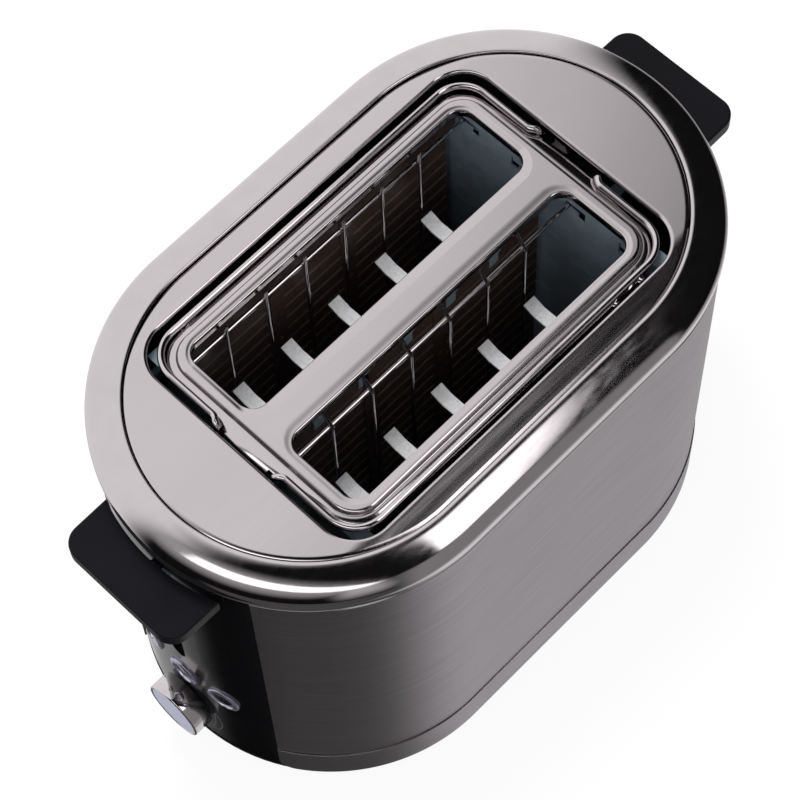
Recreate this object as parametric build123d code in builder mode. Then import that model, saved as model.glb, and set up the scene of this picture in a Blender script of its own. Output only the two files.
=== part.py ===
from build123d import *
from math import asin, atan2, cos, degrees, hypot, radians, sin, sqrt
import os

os.makedirs("parts", exist_ok=True)

# Two-slice toaster, millimetres. X is across the slots, the controls face -Y and Z is up.
# The origin is on the worktop under the middle of the body.

# Body in plan: a stadium, long in Y, whose ends are half circles
plate_strip = 9.3                # top plate beside the opening round the slots
plate_end = 29.7                 # top plate beyond that opening's ends
end_panel_half_angle = 29.0      # black end panels cover this much each side of the long axis
sheet = 0.8                      # steel sheet of the side panels
panel_seam = 0.3                 # gap between neighbouring covers
end_wall = 2.5                   # moulded wall of the end panels
end_recess = 0.6                 # the end panels stand this far inside the steel
tongue_angle = 4.0               # tongue of an end panel that runs behind the steel
tongue_clear = 0.2

# Base plate and skirt
foot_height = 3.0
base_floor = 2.0
base_inset = 0.4                 # base plate's edge inside the side panels
base_wall = 2.0                  # wall of the base plate that stands behind the covers
base_wall_clear = 0.3
base_wall_top = 30.0
base_wall_seam = 1.0             # degrees between the base wall and an end panel's tongue
skirt_height = 18.0
skirt_proud = 0.5                # skirt beyond the side panels
skirt_wall = 1.1
skirt_corner = 6.0
skirt_gap = 0.8

# Heights of the covers
side_panel_height = 147.2
shelf = 1.2                      # inner shelf of the rim, lying on the panels
shelf_width = 3.0
rim_lip_drop = 0.7
rim_straight = 2.0               # upright part of the rim above the panels
rim_shoulder_height = 7.0
rim_shoulder_width = 13.3
rim_proud = 0.8                  # rim beyond the side panels
rim_lip_clear = 0.2
rim_wall = 1.2
ledge_width = 4.0
plate_gap = 0.4                  # groove between the rim and the top plate
plate_drop = 0.4                 # top plate below the rim's crest
plate_sheet = 1.0
plate_round = 0.8
slot_panel_drop = 1.6            # slot panel's middle bar below the top plate
collar_depth = 0.6
collar_width = 4.2
flange_drop = 1.8                # flange round the slots, under the bun wires

# Bread slots
slot_length = 135.0
slot_width = 33.25
slot_pitch = 48.55
slot_corner = 6.0
slot_lip = 3.4                   # turned-down edge of each slot
raised_margin_x = 4.4            # flat top outside the slots, across and along
raised_margin_y = 5.3
raised_round = 0.9
raised_wall = 2.0                # wall left round the hollow under the flat top
flange_margin_x = 5.7            # flange outside the flat top
flange_margin_y = 4.8
bun_gap_x = 2.2                  # dark gap between the flange and the top plate
bun_gap_y = 3.2
opening_corner = 14.0
opening_lip = 3.4                # turned-down edge of the top plate's opening
panel_tongue = 20.0              # width of the flange's tongue at each short end
tongue_seam = 0.2
side_tab = (3.0, 47.0, 60.0)     # width of the flange's small side tabs, and where they stand
panel_foot = (8.0, 4.0)          # feet of the slot panel, across and along
panel_foot_inset = 7.0           # their middles inside the flange's long edges

# Bun-warming rack
bun_wire = 2.6
bun_rest_gap = 0.3
bun_inset_x = 3.6                # wire's middle inside the top plate's opening, across and along
bun_inset_y = 4.0
bun_corner = 12.0
bun_leg_x = 13.1
bun_leg_start = 16.6             # where the end of a wire leaves the straight
bun_kink = 3.0
bun_bend = 2.7
bun_lift = 27.0
yoke_drop = 32.0                 # top of the lifting frame below the wires
yoke_bar = (2.4, 6.0)            # thickness and height of the lifting frame's bars
rack_side_clear = 5.0            # lifting frame's side bars outside the chassis plates
rack_stem_drop = 30.0            # top of the rack lever's stem below the frame's top
rack_stem_width = 5.0
rack_knob = (16.0, 9.0, 12.0)
rack_knob_round = 2.0

# Chassis
chassis_sheet = 0.8
chassis_clear = 1.5              # chassis plates beyond the slots' ends
chassis_side = 2.0               # chassis plates beyond the reflectors
chassis_top_drop = 7.0           # tops of the chassis plates below the slot panel's top
top_flange = 6.0
bottom_flange = 12.0
rod_bracket = (16.0, 24.0)       # width and reach of the bracket that holds the guide rod
cut_clear = 0.8                  # slits and cut-outs round what passes through
tray_window_clear = 3.5
reflector_gap = 4.5              # reflectors outside the outer heating boards
reflector_sheet = 0.5
reflector_bottom = 30.0
board_end_fit = 0.2

# Heating boards: mica sheets wound with flat ribbon
board = 0.6
board_gap = 4.6                  # outer boards outside the slots
board_bottom = 36.0
board_top_drop = 14.0
board_shoulder = 4.85            # wound part of a board short of the chassis plates
board_tab = 10.0
board_tab_out = 1.0
ribbon = (0.15, 1.5)             # thickness and width of the heating ribbon
ribbon_pitch = 8.0
ribbon_turns = 13

# Bread guards: four hinged wire grids
rail_wire = 1.8
guard_wire = 1.5
weld_bite = 0.35
guard_spacing = 18.95
guard_count = 6
guard_shift = -2.0
guard_outer_inset = 1.1          # upright wires inside the slots' outer and inner edges
guard_inner_inset = 3.55
guard_axis_height = 56.0
guard_closing = 6.0
guard_rail_drop = 12.0
guard_hook_drop = 6.0
hook_lean = 4.5
guard_end = 2.0                  # wires beyond the chassis plates
running = 0.05

# Carriage and lever
lever_travel = 68.0
lifter_drop = 48.0               # bread lifters below the slot panel's top, lever up
lifter_pitch = 23.9
lifter_count = 5
lifter_shift = -2.5
lifter_width = 5.4
lifter_flat = 6.4
lifter_wing = 5.4
lifter_wing_rise = 2.2
strip = 1.0
strip_height = 9.0
strip_drop = 6.0                 # strip's top edge below the lifters
strip_tail = 4.0
guide_rod_d = 5.0
guide_rod_gap = 17.2             # rod's middle in front of the chassis plate
rod_boss = (10.0, 8.0)           # diameter and height of the rod's seat in the base
rod_bite = 7.0
bush_d = 9.0
bush_height = 40.0
bush_drop = 17.0                 # lower end of the bush below the lifters
cross_plate = 1.2
cross_plate_bite = 0.5           # cross plate sunk into the bush
lever_stem = (5.0, 12.0)         # width and height
lever_slot_width = 7.0
lever_slot_spare = 2.0
grip_top_drop = 15.5             # tops of both end grips below the slot panel's top
grip_thickness = 6.5
grip_length = 17.7               # grips beyond the end panels
grip_root_half = 27.8
grip_tip_half = 27.0
grip_corner = 7.5
grip_gap = 1.2                   # lever grip clear of the front panel
grip_edge = 0.9
stem_short = 6.0                 # lever stem short of the grip's front edge
stem_bite = 1.0                  # lever stem sunk into the bush
keeper = (12.0, 12.0, 3.0)       # keeper plate across, along and thick
keeper_x = 17.0
magnet_gap = 0.3
magnet_leg = 3.5
magnet_height = 22.0
coil_wall = 1.5
spring_wire = 1.0
spring_radius = 3.7
spring_turns = 16
spring_gap = 0.1

# Controls
knob_height = 30.3
knob_d = 23.0
knob_length = 8.8
knob_gap = 0.4
knob_edge = 1.0
knob_bite = 6.0
dial_shaft_d = 6.0
dial_shaft_short = 1.0           # shaft short of the circuit board
shaft_clear = 0.3
button_height = 56.3
button_offset = 18.5
button_d = 8.6
button_proud = 0.5
button_dome = 0.6
button_travel = 1.2
button_play = 0.3
bezel_d = 13.4
bezel_proud = 1.2
bezel_depth = 4.0
stem_d = 3.0
switch = (6.2, 3.0)              # side and height of a button's switch
switch_gap = 0.4                 # between a switch and the stem of a button pressed home
circuit_depth = 17.2             # circuit board behind the end panel's outer face
circuit = (68.0, 50.0, 1.6)      # width, height, thickness
circuit_bottom = 20.0
post_d = 6.0
post_x = 28.0
post_inset = 5.0
post_short = 0.1                 # posts short of the end panel's outer face
pot_d = 17.0
pot_length = 8.0

# Crumb tray
tray_width = 63.0
tray_short = 5.0                 # tray short of the front chassis plate
tray_sheet = 0.8
tray_lift = 0.3                  # tray clear of the base floor
tray_wall_height = 6.0
tray_face_height = 15.0
tray_face_half_angle = 26.0
tray_clear = 0.5
tray_rail = (2.0, 4.0)
tray_pull = (5.0, 3.0, 8.0)      # reach, thickness and half angle of the pull

# Feet, screws and mains entry
foot_d = 18.0
foot_chamfer = 0.8
foot_spigot = (6.0, 1.6)
foot_inset = 29.4                # feet inside the body's long sides
foot_beyond = 10.0               # feet beyond the centres of the round ends
screw_inset = 10.0               # chassis screws inside the chassis plates' edges
boss = (8.0, 3.0)                # diameter and height of the screw bosses
head = (6.0, 2.0)                # diameter and height of a screw head
shank = (3.2, 4.0)               # diameter, and length below the sheet
thread_play = 0.05
handle_screw_x = 14.0
handle_screw_bite = 8.0
gland_angle = 0.0
gland_height = 36.0
gland = (14.0, 10.0, 7.2)        # flange, barrel and bore diameters
gland_flange = 2.0
gland_length = 12.0
terminal = (28.0, 14.0, 14.0)
terminal_place = (30.0, 40.0)
terminal_hole = (4.0, 6.0)       # diameter and depth

# Worked-out places
slot_inner_edge = slot_pitch / 2 - slot_width / 2
slot_outer_edge = slot_pitch / 2 + slot_width / 2
raised_x = slot_outer_edge + raised_margin_x
raised_y = slot_length / 2 + raised_margin_y
flange_x = raised_x + flange_margin_x
flange_y = raised_y + flange_margin_y
opening_x = flange_x + bun_gap_x
opening_y = flange_y + bun_gap_y
plate_radius = opening_x + plate_strip
rim_crest = plate_radius + plate_gap
rim_outside = rim_crest + rim_shoulder_width
body_radius = rim_outside - rim_proud
end_centre = opening_y + plate_end - plate_radius
body_width = 2 * body_radius
body_length = 2 * (end_centre + body_radius)
steel_inside = body_radius - sheet
end_outside = body_radius - end_recess
end_inside = end_outside - end_wall
base_top = foot_height + base_floor
skirt_top = base_top + skirt_height
side_bottom = skirt_top + skirt_gap
side_top = side_bottom + side_panel_height
rim_widest = side_top + rim_straight
rim_top = rim_widest + rim_shoulder_height
plate_top = rim_top - plate_drop
slot_top = plate_top - slot_panel_drop
slot_edge = slot_top - collar_depth
flange_top = slot_top - flange_drop
board_x = slot_outer_edge + board_gap
reflector_x = board_x + reflector_gap
chassis_width = 2 * (reflector_x + chassis_side)
chassis_y = slot_length / 2 + chassis_clear
chassis_outer = chassis_y + chassis_sheet
chassis_bottom = base_top + boss[1]
chassis_top = slot_top - chassis_top_drop
board_top = slot_top - board_top_drop
lifter_top = slot_top - lifter_drop
strip_top = lifter_top - strip_drop
strip_bottom = strip_top - strip_height
bush_bottom = lifter_top - bush_drop
rail_height = slot_top - guard_rail_drop
hook_height = slot_top - guard_hook_drop
grip_top = slot_top - grip_top_drop
grip_bottom = grip_top - grip_thickness
stem_bottom = grip_bottom - lever_stem[1]
bun_height = flange_top + bun_wire / 2 + bun_rest_gap
bun_leg_y = flange_y + bun_gap_y / 2
bun_long_x = opening_x - bun_inset_x
bun_short_y = opening_y - bun_inset_y
yoke_top = bun_height - yoke_drop
rack_side_x = chassis_width / 2 + rack_side_clear
rack_stem_top = yoke_top - rack_stem_drop
guard_outer_x = slot_outer_edge - guard_outer_inset
guard_inner_x = slot_inner_edge + guard_inner_inset
lifter_x = (guard_inner_x + guard_outer_x) / 2
rod_boss_top = base_top + rod_boss[1]
guide_rod_y = chassis_outer + guide_rod_gap
cross_plate_y = guide_rod_y - bush_d / 2 - cross_plate + cross_plate_bite
screw_x = chassis_width / 2 - screw_inset
screw_y = chassis_outer + bottom_flange / 2
tray_front = chassis_y - tray_short
foot_x = body_radius - foot_inset
foot_y = end_centre + foot_beyond
foot_places = [(x, y) for x in (-foot_x, foot_x) for y in (-foot_y, foot_y)]
front_face_y = end_centre + end_outside
grip_reach = front_face_y + grip_length
circuit_y = front_face_y - circuit_depth
panel_foot_x = flange_x - panel_foot_inset
steel_angle = end_panel_half_angle + degrees(panel_seam / body_radius)
slot_centres = (-slot_pitch / 2, slot_pitch / 2)
sides = ((-1, "left"), (1, "right"))
CENTRED_UP = (Align.CENTER, Align.CENTER, Align.MIN)


def save(piece, name):
    """Label a finished piece and write it."""
    piece.part.label = name
    export_step(piece.part, f"parts/{name}.step")


def stadium(radius, mode=Mode.ADD):
    """The body's outline, with ends of this radius, in the current sketch."""
    return SlotCenterToCenter(2 * end_centre, 2 * radius, rotation=90, mode=mode)


def end_point(radius, angle, end=-1):
    """Point on an end's circle, angle degrees from the long axis towards +X."""
    return (radius * sin(radians(angle)), end * (end_centre + radius * cos(radians(angle))))


def wedge(half_angle, end, mode=Mode.ADD):
    """Sector that an end panel fills, in the current sketch."""
    reach = 2 * body_radius
    right = end_point(reach, half_angle, end)
    left = end_point(reach, -half_angle, end)
    return Polygon((0, end * end_centre), right, left, align=None, mode=mode)


def end_plane(angle, height, radius, end=-1):
    """Plane square to an end panel: its x is level and its normal points outwards."""
    x, y = end_point(radius, angle, end)
    outward = (sin(radians(angle)), end * cos(radians(angle)), 0)
    level = (-end * cos(radians(angle)), sin(radians(angle)), 0)
    return Plane(origin=(x, y, height), x_dir=level, z_dir=outward)


def band(outer, inner, bottom, cut_angle, side=0):
    """Section of a wall that follows the body between the end panels, on one side or both."""
    with BuildSketch(Plane.XY.offset(bottom)) as section:
        stadium(outer)
        stadium(inner, Mode.SUBTRACT)
        for end in (-1, 1):
            wedge(cut_angle, end, Mode.SUBTRACT)
        if side:
            with Locations((side * body_width, 0)):
                Rectangle(2 * body_width, 2 * body_length, mode=Mode.INTERSECT)
    return section.sketch


def sector(outer, inner, bottom, half_angle, end):
    """Section of a curved wall at one end of the body."""
    with BuildSketch(Plane.XY.offset(bottom)) as section:
        stadium(outer)
        stadium(inner, Mode.SUBTRACT)
        wedge(half_angle, end, Mode.INTERSECT)
    return section.sketch


def least_gap(points, apart, thickness):
    """Least clear gap between turns: points of the path that lie this many points apart or more."""
    distances = [(near - far).length for i, near in enumerate(points) for far in points[i + apart:]]
    return min(distances) - thickness


# Base plate: floor, wall behind the covers, bosses and tray rails
base_radius = body_radius - base_inset
base_wall_radius = steel_inside - base_wall_clear
base_wall_angle = end_panel_half_angle + tongue_angle + base_wall_seam
screw_places = [(x, y) for x in (-screw_x, screw_x) for y in (-screw_y, screw_y)]
rail_centre = tray_width / 2 + tray_clear + tray_rail[0] / 2

with BuildPart() as base_plate:
    with BuildSketch(Plane.XY.offset(foot_height)):
        stadium(base_radius)
        with Locations(*foot_places):
            Circle(foot_spigot[0] / 2 + running, mode=Mode.SUBTRACT)
    extrude(amount=base_floor)
    wall_inside = base_wall_radius - base_wall
    extrude(band(base_wall_radius, wall_inside, base_top, base_wall_angle), amount=base_wall_top - base_top)
    extrude(band(base_radius, wall_inside, skirt_top, base_wall_angle), amount=skirt_gap)
    with BuildSketch(Plane.XY.offset(base_top)):
        with Locations(*screw_places):
            Circle(boss[0] / 2)
    extrude(amount=boss[1])
    with BuildSketch(Plane.XY.offset(base_top)):
        with Locations((0, -guide_rod_y)):
            Circle(rod_boss[0] / 2)
    extrude(amount=rod_boss[1])
    with BuildSketch(Plane.XY.offset(base_top)):
        with Locations((-rail_centre, 0), (rail_centre, 0)):
            Rectangle(tray_rail[0], 2 * tray_front)
    extrude(amount=tray_rail[1])
    with BuildSketch(Plane.XY.offset(chassis_bottom)):
        with Locations(*screw_places):
            Circle(shank[0] / 2 + thread_play)
    extrude(amount=-shank[1], mode=Mode.SUBTRACT)
    with BuildSketch(Plane.XY.offset(rod_boss_top)):
        with Locations((0, -guide_rod_y)):
            Circle(guide_rod_d / 2 + running)
    extrude(amount=-rod_bite, mode=Mode.SUBTRACT)
save(base_plate, "base_plate")

with BuildPart() as rubber_feet:
    with BuildSketch():
        with Locations(*foot_places):
            Circle(foot_d / 2)
    extrude(amount=foot_height)
    chamfer(rubber_feet.edges().filter_by(GeomType.CIRCLE).group_by(Axis.Z)[0], length=foot_chamfer)
    with BuildSketch(Plane.XY.offset(foot_height)):
        with Locations(*foot_places):
            Circle(foot_spigot[0] / 2)
    extrude(amount=foot_spigot[1])
save(rubber_feet, "rubber_feet")

# Steel side panels and the skirt bands below them
skirt_outside = body_radius + skirt_proud
for side, side_name in sides:
    with BuildPart() as side_panel:
        extrude(band(body_radius, steel_inside, side_bottom, steel_angle, side), amount=side_panel_height)
    save(side_panel, f"side_panel_{side_name}")

    with BuildPart() as skirt:
        skirt_inside = skirt_outside - skirt_wall
        extrude(band(skirt_outside, skirt_inside, base_top, steel_angle, side), amount=skirt_height)
        lower_corners = skirt.edges().filter_by(GeomType.LINE).group_by(Axis.Z)[0]
        ends = [edge for edge in lower_corners if edge.length < 2 * skirt_wall]
        fillet(ends, radius=skirt_corner)
    save(skirt, f"skirt_{side_name}")


# Black end panels, with tongues that run behind the steel
tongue_half_angle = end_panel_half_angle + tongue_angle
tongue_outside = steel_inside - tongue_clear
button_angle = degrees(asin(button_offset / end_outside))
button_planes = [end_plane(angle, button_height, end_outside) for angle in (-button_angle, 0, button_angle)]
knob_plane = Plane(origin=(0, -front_face_y, knob_height), x_dir=(1, 0, 0), z_dir=(0, -1, 0))
lever_slot_bottom = stem_bottom - lever_travel - lever_slot_spare
lever_slot_top = grip_bottom + lever_slot_spare
post_places = [(x, circuit_bottom + z) for x in (-post_x, post_x) for z in (post_inset, circuit[1] - post_inset)]
post_end = end_centre + sqrt(end_outside ** 2 - (post_x + post_d / 2) ** 2) - post_short
board_face = Plane(origin=(0, -circuit_y, 0), x_dir=(1, 0, 0), z_dir=(0, -1, 0))

with BuildPart() as front_panel:
    extrude(sector(end_outside, end_inside, base_top, end_panel_half_angle, -1), amount=side_top - base_top)
    extrude(sector(tongue_outside, end_inside, base_top, tongue_half_angle, -1), amount=side_top - base_top)
    with BuildSketch(board_face):
        with Locations(*post_places):
            Circle(post_d / 2)
    extrude(amount=post_end - circuit_y)
    with BuildSketch(board_face):
        with Locations((0, (lever_slot_bottom + lever_slot_top) / 2)):
            SlotOverall(lever_slot_top - lever_slot_bottom, lever_slot_width, rotation=90)
        with Locations((0, knob_height)):
            Circle(dial_shaft_d / 2 + shaft_clear)
    extrude(amount=body_width / 2, mode=Mode.SUBTRACT)
    for plane in button_planes:
        with BuildSketch(plane.offset(bezel_proud)):
            Circle(bezel_d / 2 + running)
        extrude(amount=-2 * bezel_depth, mode=Mode.SUBTRACT)
    with BuildSketch(board_face):
        with Locations(*post_places):
            Circle(shank[0] / 2 + thread_play)
    extrude(amount=shank[1], mode=Mode.SUBTRACT)
save(front_panel, "front_panel")

tray_bottom = base_top + tray_lift
tray_face_top = tray_bottom + tray_face_height
tray_cut_angle = tray_face_half_angle + degrees(tray_clear / end_outside)
gland_plane = end_plane(gland_angle, gland_height, end_outside, 1)
rear_face = Plane(origin=(0, end_centre, 0), x_dir=(-1, 0, 0), z_dir=(0, 1, 0))
rack_slot_bottom = rack_stem_top - yoke_bar[1] - lever_slot_spare
rack_slot_top = rack_stem_top + bun_lift + lever_slot_spare
handle_screw_places = [(x, grip_top - grip_thickness / 2) for x in (-handle_screw_x, handle_screw_x)]

with BuildPart() as rear_panel:
    extrude(sector(end_outside, end_inside, base_top, end_panel_half_angle, 1), amount=side_top - base_top)
    extrude(sector(tongue_outside, end_inside, base_top, tongue_half_angle, 1), amount=side_top - base_top)
    with BuildSketch(Plane.XY.offset(base_top)):
        wedge(tray_cut_angle, 1)
    extrude(amount=tray_face_top + tray_clear - base_top, mode=Mode.SUBTRACT)
    with BuildSketch(rear_face):
        with Locations((0, (rack_slot_bottom + rack_slot_top) / 2)):
            SlotOverall(rack_slot_top - rack_slot_bottom, lever_slot_width, rotation=90)
        with Locations(*handle_screw_places):
            Circle(shank[0] / 2 + thread_play)
    extrude(amount=body_width, mode=Mode.SUBTRACT)
    with BuildSketch(gland_plane.offset(gland_flange)):
        Circle(gland[1] / 2 + running)
    extrude(amount=-gland_length, mode=Mode.SUBTRACT)
save(rear_panel, "rear_panel")


# Polished rim: one section carried round the stadium
def rim_section(plane):
    """Section of the rim, radius from the stadium's axis against height."""
    inner_width = rim_shoulder_width - rim_wall
    inner_height = rim_shoulder_height - rim_wall
    ledge_bottom = plate_top - plate_sheet - shelf
    start = asin((ledge_bottom - rim_widest) / inner_height)
    lip_outer, lip_inner = rim_outside, body_radius + rim_lip_clear
    lip_z = side_top - rim_lip_drop
    ledge_end = rim_crest - ledge_width
    shelf_end = rim_outside - rim_wall - shelf_width
    with BuildSketch(plane) as section:
        with BuildLine():
            outer = EllipticalCenterArc((rim_crest, rim_widest), rim_shoulder_width, rim_shoulder_height)
            inner = EllipticalCenterArc((rim_crest, rim_widest), inner_width, inner_height,
                                        arc_size=degrees(start))
            Polyline(outer @ 1, (rim_crest, plate_top - plate_sheet), (ledge_end, plate_top - plate_sheet),
                     (ledge_end, ledge_bottom), inner @ 1)
            Polyline(inner @ 0, (inner_width + rim_crest, side_top + shelf), (shelf_end, side_top + shelf),
                     (shelf_end, side_top), (lip_inner, side_top), (lip_inner, lip_z))
            RadiusArc((lip_inner, lip_z), (lip_outer, lip_z), -(lip_outer - lip_inner) / 2)
            Line((lip_outer, lip_z), outer @ 0)
        make_face()
    return section.sketch


with BuildPart() as top_rim:
    extrude(rim_section(Plane.XZ), amount=end_centre, both=True)
    mirror(about=Plane.YZ)
    for end in (-1, 1):
        end_axis = Axis((0, end * end_centre, 0), (0, 0, end))
        revolve(rim_section(Plane.XZ.offset(-end * end_centre)), axis=end_axis, revolution_arc=180)
save(top_rim, "top_rim")


def opening(grow=0.0, mode=Mode.ADD):
    """Opening of the top plate, round the bun rack and the slot panel."""
    return RectangleRounded(2 * (opening_x + grow), 2 * (opening_y + grow), opening_corner + grow, mode=mode)


with BuildPart() as top_plate:
    with BuildSketch(Plane.XY.offset(plate_top - plate_sheet)):
        stadium(plate_radius)
        opening(mode=Mode.SUBTRACT)
    extrude(amount=plate_sheet)
    with BuildSketch(Plane.XY.offset(plate_top - opening_lip)):
        opening(plate_sheet)
        opening(mode=Mode.SUBTRACT)
    extrude(amount=opening_lip)
    fillet(top_plate.edges().group_by(Axis.Z)[-1], radius=plate_round)
save(top_plate, "top_plate")


# Slot panel: raised middle with the two bread slots, and a flange under the bun rack
def slots(grow=0.0, mode=Mode.ADD):
    """Both bread slots, in the current sketch."""
    with Locations(*[(x, 0) for x in slot_centres]):
        return RectangleRounded(slot_width + 2 * grow, slot_length + 2 * grow, slot_corner + grow, mode=mode)


raised_corner = slot_corner + raised_margin_x
flange_corner = raised_corner + flange_margin_x
with BuildPart() as slot_panel:
    with BuildSketch(Plane.XY.offset(flange_top - plate_sheet)):
        RectangleRounded(2 * flange_x, 2 * flange_y, flange_corner)
        Rectangle(panel_tongue, 2 * (opening_y - tongue_seam))
        for turn in (-1, 1):
            with Locations(*[(turn * flange_x, turn * y) for y in side_tab[1:]]):
                Rectangle(2 * (bun_gap_x - tongue_seam), side_tab[0])
    extrude(amount=plate_sheet)
    with BuildSketch(Plane.XY.offset(flange_top)):
        RectangleRounded(2 * raised_x, 2 * raised_y, raised_corner)
    extrude(amount=flange_drop)
    fillet(slot_panel.edges().group_by(Axis.Z)[-1], radius=raised_round)
    with BuildSketch(Plane.XY.offset(flange_top - plate_sheet)):
        RectangleRounded(2 * (raised_x - raised_wall), 2 * (raised_y - raised_wall),
                         raised_corner - raised_wall)
    extrude(amount=slot_edge - flange_top, mode=Mode.SUBTRACT)
    with BuildSketch(Plane.XY.offset(slot_edge - slot_lip)):
        slots(plate_sheet)
    extrude(amount=slot_lip)
    for x in slot_centres:
        with BuildSketch(Plane.XY.offset(slot_edge)):
            with Locations((x, 0)):
                RectangleRounded(slot_width, slot_length, slot_corner)
        with BuildSketch(Plane.XY.offset(slot_top)):
            with Locations((x, 0)):
                RectangleRounded(slot_width + 2 * collar_width, slot_length + 2 * collar_width,
                                 slot_corner + collar_width)
        loft(ruled=True, mode=Mode.SUBTRACT)
    with BuildSketch(Plane.XY.offset(slot_edge - slot_lip)):
        slots()
    extrude(amount=slot_lip + collar_depth, mode=Mode.SUBTRACT)
    with BuildSketch(Plane.XY.offset(chassis_top)):
        with Locations(*[(x, y) for x in (-panel_foot_x, panel_foot_x)
                         for y in (-chassis_y - top_flange / 2, chassis_y + top_flange / 2)]):
            Rectangle(*panel_foot)
    extrude(amount=flange_top - plate_sheet - chassis_top)
save(slot_panel, "slot_panel")


# End grips: the lever's at the front, a fixed one at the back
def grip(end, body_gap):
    """Rounded slab that follows the end panel inside and is square outside."""
    with BuildSketch(Plane.XY.offset(grip_bottom)) as outline:
        Polygon((-grip_root_half, end * end_centre), (-grip_tip_half, end * grip_reach),
                (grip_tip_half, end * grip_reach), (grip_root_half, end * end_centre), align=None)
        fillet(outline.vertices().sort_by(Axis.Y)[:2] if end < 0 else outline.vertices().sort_by(Axis.Y)[-2:],
               radius=grip_corner)
        stadium(end_outside + body_gap, Mode.SUBTRACT)
    return outline.sketch


def round_slab(piece):
    """Round the upper and lower edges of a grip."""
    flat = piece.faces().filter_by(Axis.Z)
    fillet(flat.edges().filter_by(lambda edge: abs(edge.center().Y) > front_face_y + 2 * grip_gap), radius=grip_edge)


with BuildPart() as lever_grip:
    extrude(grip(-1, grip_gap), amount=grip_thickness)
    round_slab(lever_grip)
save(lever_grip, "lever_grip")

with BuildPart() as rear_handle:
    extrude(grip(1, 0), amount=grip_thickness)
    round_slab(rear_handle)
    with BuildSketch(rear_face):
        with Locations(*handle_screw_places):
            Circle(shank[0] / 2 + thread_play)
    extrude(amount=end_outside + handle_screw_bite, mode=Mode.SUBTRACT)
save(rear_handle, "rear_handle")

handle_head_y = sqrt(end_inside ** 2 - (handle_screw_x + head[0] / 2) ** 2)
with BuildPart() as handle_screws:
    with BuildSketch(rear_face.offset(handle_head_y)):
        with Locations(*handle_screw_places):
            Circle(head[0] / 2)
    extrude(amount=-head[1])
    with BuildSketch(rear_face.offset(handle_head_y)):
        with Locations(*handle_screw_places):
            Circle(shank[0] / 2)
    extrude(amount=end_outside + handle_screw_bite / 2 - handle_head_y)
save(handle_screws, "handle_screws")

# Chassis plates at both ends of the slots, facing each other
guards = (("left_outer", -guard_outer_x, 1), ("left_inner", -guard_inner_x, -1),
          ("right_inner", guard_inner_x, 1), ("right_outer", guard_outer_x, -1))
wire_step = rail_wire / 2 + guard_wire / 2 - weld_bite
board_places = (("left", -board_x), ("centre", 0.0), ("right", board_x))
board_tab_levels = (board_bottom, board_top - board_tab)


def rail_x(wire_x, closes):
    """Rails stand behind the upright wires, on the boards' side."""
    return wire_x - closes * wire_step


def chassis_plate(end):
    """Folded plate with cut-outs for the guards, the boards, the carriage and the tray."""
    face = Plane(origin=(0, end * chassis_y, 0), x_dir=(1, 0, 0), z_dir=(0, -1, 0))
    outward = -end * chassis_sheet
    with BuildPart() as plate:
        with BuildSketch(face):
            with Locations((0, (chassis_bottom + chassis_top) / 2)):
                Rectangle(chassis_width, chassis_top - chassis_bottom)
        extrude(amount=outward)
        flanges = ((chassis_bottom, bottom_flange), (chassis_top - chassis_sheet, top_flange))
        for height, reach in flanges:
            with BuildSketch(Plane.XY.offset(height)):
                with Locations((0, end * (chassis_y + reach / 2))):
                    Rectangle(chassis_width, reach)
            extrude(amount=chassis_sheet)
        with BuildSketch(face):
            for name, wire_x, closes in guards:
                x = rail_x(wire_x, closes)
                with Locations((x, guard_axis_height)):
                    Circle(rail_wire / 2 + running)
                with Locations((x + closes * guard_closing / 2, rail_height)):
                    Rectangle(guard_closing + rail_wire + 2 * cut_clear, rail_wire + 2 * cut_clear)
                with Locations((x + closes * guard_closing, rail_height - rail_wire)):
                    Rectangle(rail_wire + 2 * cut_clear, 3 * rail_wire)
            for name, x in board_places:
                for level in board_tab_levels:
                    with Locations((x, level + board_tab / 2)):
                        Rectangle(board + 2 * board_end_fit, board_tab + 2 * board_end_fit)
        extrude(amount=outward, mode=Mode.SUBTRACT)
        with BuildSketch(Plane.XY.offset(chassis_bottom)):
            with Locations(*[(x, end * screw_y) for x in (-screw_x, screw_x)]):
                Circle(shank[0] / 2 + thread_play)
        extrude(amount=chassis_sheet, mode=Mode.SUBTRACT)
    return plate.part


front_plate = chassis_plate(-1)
rear_plate = chassis_plate(1)

with BuildPart() as chassis_front:
    add(front_plate)
    with BuildSketch(Plane.XY.offset(chassis_top - chassis_sheet)):
        with Locations((0, -chassis_y - rod_bracket[1] / 2)):
            Rectangle(*rod_bracket)
        with Locations((0, -guide_rod_y)):
            Circle(guide_rod_d / 2 + running, mode=Mode.SUBTRACT)
    extrude(amount=chassis_sheet)
    strip_slit_bottom = strip_bottom - lever_travel - cut_clear
    strip_slit_top = strip_top + cut_clear
    with BuildSketch(Plane(origin=(0, -chassis_y, 0), x_dir=(1, 0, 0), z_dir=(0, -1, 0))):
        with Locations(*[(x, (strip_slit_bottom + strip_slit_top) / 2) for x in (-lifter_x, lifter_x)]):
            Rectangle(strip + 2 * cut_clear, strip_slit_top - strip_slit_bottom)
    extrude(amount=chassis_sheet, mode=Mode.SUBTRACT)
save(chassis_front, "chassis_front")

with BuildPart() as chassis_rear:
    add(rear_plate)
    window_width = 2 * (rail_centre + tray_rail[0] / 2 + cut_clear)
    window_height = tray_bottom + tray_wall_height + tray_window_clear - chassis_bottom
    with BuildSketch(Plane.XY.offset(chassis_bottom)):
        with Locations((0, chassis_y + bottom_flange / 2)):
            Rectangle(window_width, bottom_flange)
    extrude(amount=window_height, mode=Mode.SUBTRACT)
save(chassis_rear, "chassis_rear")

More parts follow.
